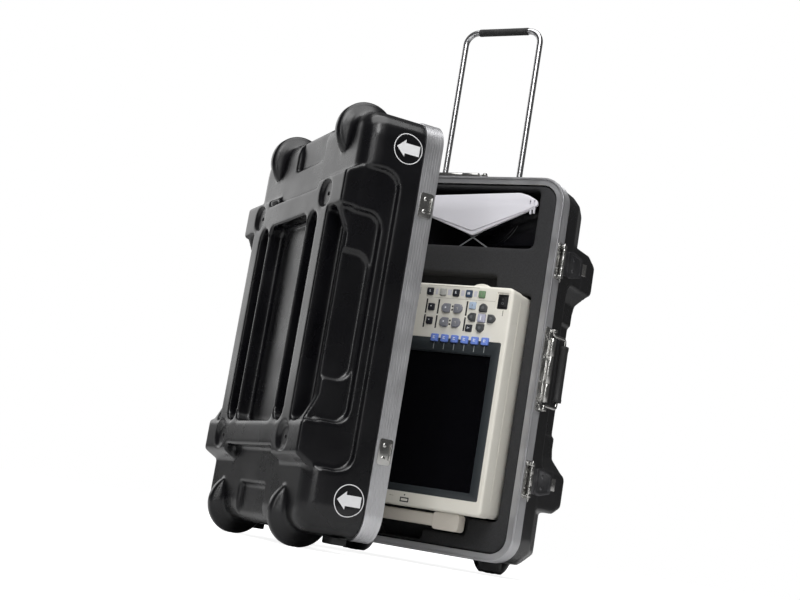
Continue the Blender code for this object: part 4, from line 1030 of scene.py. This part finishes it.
shapes = key_shapes(0.0)
for name, (x, z) in SOFT_KEYS.items():
    key(name, "blue", 0.0016, "white", strip(x - 0.0014, z + 0.0004, 0.0011, 0.0046),
        strip(x + 0.0006, z + 0.0018, 0.0024, 0.0011), strip(x + 0.0006, z - 0.0010, 0.0024, 0.0011))
for name, (x, z, side) in RANGE_KEYS.items():
    if side < 0:
        key(name, "grey", 0.0016, "white", circle(x, z + 0.0004, 0.0014, 14))
    else:
        key(name, "grey", 0.0016, "pale", strip(x, z, 0.0010, 0.0038),
            strip(x - 0.0016, z + 0.0008, 0.0016, 0.0009))
for name, (x, z, degrees) in CURSOR_KEYS.items():
    key(name, "charcoal", 0.0011, "dim", nosed((x, z), 0.0024, 0.0022, 0.0003, degrees))
key("cursor_select", "lilac", 0.0016, "white", strip(SELECT_KEY[0] - 0.0006, SELECT_KEY[1], 0.0022, 0.0076))

SMALL_FRONT = -0.0570
SHEET_Y = (-0.0516, -0.0500)
sheet = block((-0.0145, 0.0505), SHEET_Y, (0.0440, 0.1055), 0.002)
carve(sheet, block((0.0400, 0.1365), SHEET_Y, (0.0905, 0.1055), 0.002), "UNION")
carve(sheet, block((0.1035, 0.1225), inset(SHEET_Y, 0.0001), (0.0362, 0.0985), 0.002), "UNION")
holes = [prism(outline, 1, -0.06, -0.04) for name, outline in key_shapes(0.0004).items()
         if name.startswith(("cursor", "range"))]
carve(sheet, together(*holes))
settle(smooth(sheet), "small_key_sheet", key_finishes["dark"], "small_key_mat")
for colour, places in SMALL_KEYS.items():
    caps = [key_cap(shapes[f"{colour}_{i}"], SMALL_FRONT, -0.0508, 0.0016) for i in range(len(places))]
    settle(together(*caps), f"small_keys_{colour}", key_finishes[colour], "small_key_mat")
marks = [circle(x - 0.0002, z + 0.0012, 0.0010) for x, z in SMALL_KEYS["dark"][3:5]]
for x, z in SMALL_KEYS["dark"][1:3]:
    marks.append(strip(x - 0.0004, z + 0.0005, 0.0013, 0.0042, 0.0003))
    marks.append(strip(x + 0.0010, z - 0.0009, 0.0012, 0.0012))
x, z = SMALL_KEYS["navy"][0]
marks += [strip(x - 0.0013, z + 0.0002, 0.0016, 0.0040), strip(x + 0.0011, z + 0.0002, 0.0016, 0.0040)]
x, z = SMALL_KEYS["dark"][5]
marks += [strip(x - 0.0014, z + 0.0002, 0.0010, 0.0030), strip(x + 0.0010, z + 0.0002, 0.0020, 0.0010)]
print_on("small_key_marks", "small_key_mat", "white", SMALL_FRONT, *marks)
for word, colour, wide, tall in (("green", "mark", 0.0010, 0.0036), ("sky", "grey", 0.0012, 0.0034)):
    x, z = SMALL_KEYS[word][0]
    print_on(word + "_key_mark", "small_key_mat", colour, SMALL_FRONT, strip(x, z + 0.0002, wide, tall))

# ---- panel print ----
# Screen-printed marks on the beige panel: black bars between the key groups, twin dots between the
# range keys, lavender fields in the top row, and plain signs at the socket under the screen.
marks = []
for x, low in ((0.0351, 0.0388), (0.0564, 0.0388), (0.1060, 0.0376)):
    marks += [strip(x, 0.07345, 0.0026, 0.0233), strip(x, (low + 0.0592) / 2, 0.0026, 0.0592 - low)]
for x, z in ((0.0812, 0.0753), (0.0812, 0.0696), (0.0803, 0.0524), (0.0803, 0.0467)):
    marks.append(circle(x, z, 0.0016))
for socket_sign in ((0.0510, -0.2290, 0.0150, 0.0017), (0.0510, -0.2344, 0.0150, 0.0017),
                    (0.04435, -0.2317, 0.0017, 0.0037), (0.05765, -0.2317, 0.0017, 0.0037),
                    (0.0505, -0.2243, 0.0020, 0.0020)):
    marks.append(strip(*socket_sign))
print_on("panel_black_print", "scanner_front_shell", "black", SCAN_FRONT, *marks)
FIELDS = ((0.0497, 0.0972, 0.0036), (0.0725, 0.0971, 0.0070), (0.0952, 0.0971, 0.0056),
          (0.1178, 0.0972, 0.0052))
print_on("panel_lavender_print", "scanner_front_shell", "lavender", SCAN_FRONT,
         *[strip(x, z, wide, 0.0090) for x, z, wide in FIELDS])
print_on("panel_pale_print", "scanner_front_shell", "mark", SCAN_FRONT,
         strip(0.0276, -0.2275, 0.0070, 0.0005), strip(0.0250, -0.2268, 0.0022, 0.0005, 0.0010),
         strip(0.1683, 0.0699, 0.0013, 0.0088), strip(0.1000, 0.0875, 0.1060, 0.0004),
         strip(0.0780, 0.1072, 0.0900, 0.0005))

# ---- power switch ----
# A rocker in a black bezel that clips into the panel. Its face is hollow, one end stands out, and it
# carries a plain bar and ring.
bezel = block(around(ROCKER[0], BEZEL_HALF[0]), (SCAN_FRONT + 0.0004, -0.0420),
              around(ROCKER[1], BEZEL_HALF[1]), 0.0012)
round_edges(bezel, 0.0003, 2, below(1, SCAN_FRONT + 0.0005))
carve(bezel, block(around(ROCKER[0], 0.00665), (-0.08, -0.0440), around(ROCKER[1], 0.00955), 0.0008,
                   steps=2))
settle(smooth(bezel), "switch_frame", black_plastic, "switch_bezel")
face = [(-0.0535 - 0.0025 * t + 0.0012 * (t - t * t), t) for t in [i / 10 for i in range(11)]]
outline = [(-0.0500, ROCKER[1] - 0.0081), (-0.0455, ROCKER[1] - 0.0032), (-0.0455, ROCKER[1] + 0.0032),
           (-0.0500, ROCKER[1] + 0.0081)]
outline += [(depth, ROCKER[1] - 0.0081 + 0.0162 * t) for depth, t in reversed(face)]
rocker = prism(outline, 0, ROCKER[0] - 0.00615, ROCKER[0] + 0.00615)
soften(rocker, 0.0004, 2, 40)
settle(smooth(rocker, 30), "switch_rocker", black_plastic, "power_rocker")
bar = block(around(ROCKER[0], 0.0004), (-0.0553, -0.0535), (ROCKER[1] + 0.0022, ROCKER[1] + 0.0048))
ring = lathe([(0.0014, 0.0003), (0.0019, 0.0003), (0.0019, -0.0012), (0.0014, -0.0012)],
             (ROCKER[0], -0.0542, ROCKER[1] - 0.0026), along=1, steps=24)
settle(together(bar, ring), "switch_signs", key_finishes["dim"], "power_rocker")

# ---- strap handle ----
# A moulded strap along the scanner's lower edge, its ends held in two beige caps.
strap_finish = new_finish("strap_plastic", (0.50, 0.465, 0.41), 0.48)
tint(strap_finish, (20, 4), (0.485, 0.45, 0.395), (0.52, 0.485, 0.43))
relief(strap_finish, (700, 2), 0.00007, 0.5)
STRAP_Y = (SCAN_FRONT + 0.006, SCAN_FRONT + 0.026)
for word, x in zip(("left", "right"), STRAP_X):
    cap = block(around(x, 0.022), inset(STRAP_Y, -0.001), (-0.2680, SCAN_Z[0] - 0.0003), 0.006, steps=6)
    under = below(2, SCAN_Z[0] - 0.001)
    round_edges(cap, 0.0022, 4, lambda edge: not upright(edge) and under(edge))
    inward = sorted((x, x - math.copysign(0.05, x)))
    carve(cap, block(inward, inset(STRAP_Y, 0.0008), (-0.2646, -0.2444), 0.0015, along=0))
    for i in range(3):
        line = x + math.copysign(0.004 + 0.0035 * i, x)
        carve(cap, block(around(line, 0.0004), inset(STRAP_Y, 0.004), (-0.2690, -0.2674)))
    settle(smooth(cap, 32), f"strap_{word}_cap", strap_finish, f"strap_cap_{word}")
strap = block(inset(STRAP_X, 0.012), inset(STRAP_Y, 0.0015), (-0.2640, -0.2450), 0.0030, along=0, steps=4)
for i in range(2):
    y = STRAP_Y[0] + 0.0065 + 0.0070 * i
    carve(strap, block(inset(STRAP_X, 0.03), around(y, 0.0004), (-0.27, -0.2634)))
soften(strap, 0.0003, 2, 50)
settle(smooth(strap), "strap", strap_finish, "strap_handle")

# ---- viewing hood ----
# A folding hood for the screen lies in the top pocket. Its face is a pale moulded plate with a
# stepped V edge and a clip at the end; the skirt and flap behind it are glossy black.
hood_plastic = new_finish("hood_plastic", (0.72, 0.71, 0.755), 0.42)
tint(hood_plastic, (16, 4), (0.705, 0.695, 0.74), (0.74, 0.73, 0.775))
relief(hood_plastic, (800, 2), 0.00005, 0.5)
gloss_black = new_finish("gloss_black", (0.006, 0.006, 0.008), 0.16)
vary(gloss_black, (30, 3), 0.10, 0.24)
HOOD = BASE @ Matrix.Translation((0.0606, 0.0020, 0.2754)) @ Matrix.Rotation(math.radians(-3.0), 4, "Y")
HOOD_DEPTH = 0.044
HOOD_MIDDLE = -0.0300
right = [(0.078, 0.0), (0.093, -0.0046), (0.1085, -0.0133), (0.1110, -0.0215), (0.0945, -0.0312)]
outline = [(0.0, -0.0696), *reversed(right), *[(-x, z) for x, z in right]]


def drawn_in(across, up):
    """The hood's outline drawn in towards its middle."""
    return [(x * across, HOOD_MIDDLE + (z - HOOD_MIDDLE) * up) for x, z in outline]


lip = prism(outline, 1, 0.0018, 0.0058)
round_edges(lip, 0.0030, 4, upright)
round_edges(lip, 0.0012, 3, below(1, 0.00181))
raised = [(x, z + (0.0040 if z > -0.02 else 0.0)) for x, z in drawn_in(0.962, 0.83)]
raised = prism(raised, 1, 0.0, 0.0050)
round_edges(raised, 0.0030, 4, upright)
round_edges(raised, 0.0010, 3, below(1, 0.00001))
carve(lip, raised, "UNION")
for x in (0.0985, 0.1050):
    carve(lip, block(around(x, 0.0012), (-0.01, 0.0040), (-0.0205, -0.0135), 0.0006))
clips = []
for x, z, wide, tall in ((0.0985, -0.0315, 0.0030, 0.0085), (0.1045, -0.0300, 0.0028, 0.0100),
                         (0.1015, -0.0270, 0.0100, 0.0030)):
    clips.append(soften(block(around(x, wide / 2), (0.0022, 0.0052), around(z, tall / 2)), 0.0006))
settle(smooth(together(lip, *clips), 32), "hood_face", hood_plastic, "hood_cover", HOOD)
skirt = prism(drawn_in(0.985, 0.965), 1, 0.0056, HOOD_DEPTH)
round_edges(skirt, 0.0040, 4, upright)
carve(skirt, prism(drawn_in(0.955, 0.88), 1, 0.0076, HOOD_DEPTH + 0.01))
soften(skirt, 0.0005, 2, 50)
settle(smooth(skirt, 32), "hood_skirt", gloss_black, "hood_cover", HOOD)
flap = prism([(-0.107, -0.020), (-0.107, -0.077), (0.105, -0.077), (0.105, -0.020)], 1,
             HOOD_DEPTH + 0.0003, HOOD_DEPTH + 0.0035)
lower = below(2, -0.07)
round_edges(flap, 0.0130, 5, lambda edge: upright(edge) and lower(edge))
soften(flap, 0.0006, 3, 60)
ribs = []
for reach, thick in ((0.105, 0.0016), (0.099, 0.0009)):
    curve = [Vector((0.012 + reach * math.cos(math.radians(a)) * 0.62, HOOD_DEPTH - 0.0004,
                     0.026 + reach * math.sin(math.radians(a)))) for a in range(-84, -27, 4)]
    ribs.append(bent_bar(curve, thick, 4))
settle(smooth(together(flap, *ribs)), "hood_inner_flap", gloss_black, "hood_flap", HOOD)
straps = []
for side in (-1, 1):
    tape = soften(block((-0.030, 0.030), (0.0075, 0.0083), (-0.0012, 0.0012)), 0.0003)
    lean = Matrix.Rotation(math.radians(side * 33), 4, "Y")
    tape.data.transform(Matrix.Translation((0.004 * side, 0.0004 * side, -0.0745)) @ lean)
    straps.append(tape)
settle(smooth(together(*straps)), "hood_tapes", key_finishes["dim"], "hood_flap", HOOD)

# ---- stickers ----
# Two round vinyl stickers on the lid's free side wall, near its ends: a white ring and an arrow that
# points away from the rim. They follow the wall where it starts to turn.
vinyl = new_finish("white_vinyl", (0.72, 0.72, 0.73), 0.38)
tint(vinyl, (60, 3), (0.69, 0.69, 0.70), (0.75, 0.75, 0.76))
STICKER_DEPTH = 0.051
STICKER_OUT = LID_WALL - 0.004
SIDES = 72
ARROW = [(-0.0179, 0.0076), (0.0050, 0.0076), (0.0049, 0.0125), (0.0180, 0.0), (0.0049, -0.0125),
         (0.0050, -0.0076), (-0.0179, -0.0076)]
for word, level in (("upper", 0.251), ("lower", -0.251)):
    circles = [circle(STICKER_DEPTH, level, radius, SIDES) for radius in (0.0225, 0.0213)]
    ring = shape([(STICKER_OUT, y, z) for y, z in circles[0] + circles[1]], [],
                 [(i, (i + 1) % SIDES, SIDES + (i + 1) % SIDES, SIDES + i) for i in range(SIDES)])
    arrow = shape([(STICKER_OUT, STICKER_DEPTH + y, level + z) for y, z in ARROW], [],
                  [(0, 1, 5, 6), (2, 3, 4), (1, 2, 4, 5)])
    sticker = together(ring, arrow)
    modify(sticker, "SUBSURF", subdivision_type="SIMPLE", levels=3, render_levels=3)
    sticker.data.transform(LID)
    modify(sticker, "SHRINKWRAP", target=bpy.data.objects["lid_case"], wrap_method="PROJECT",
           use_project_x=True, use_negative_direction=True, use_positive_direction=True, offset=0.0004)
    modify(sticker, "SOLIDIFY", thickness=0.0002, offset=0)
    outward(sticker)
    settle(smooth(sticker), f"sticker_{word}", vinyl, "lid_shell", Matrix.Identity(4))

low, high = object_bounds()
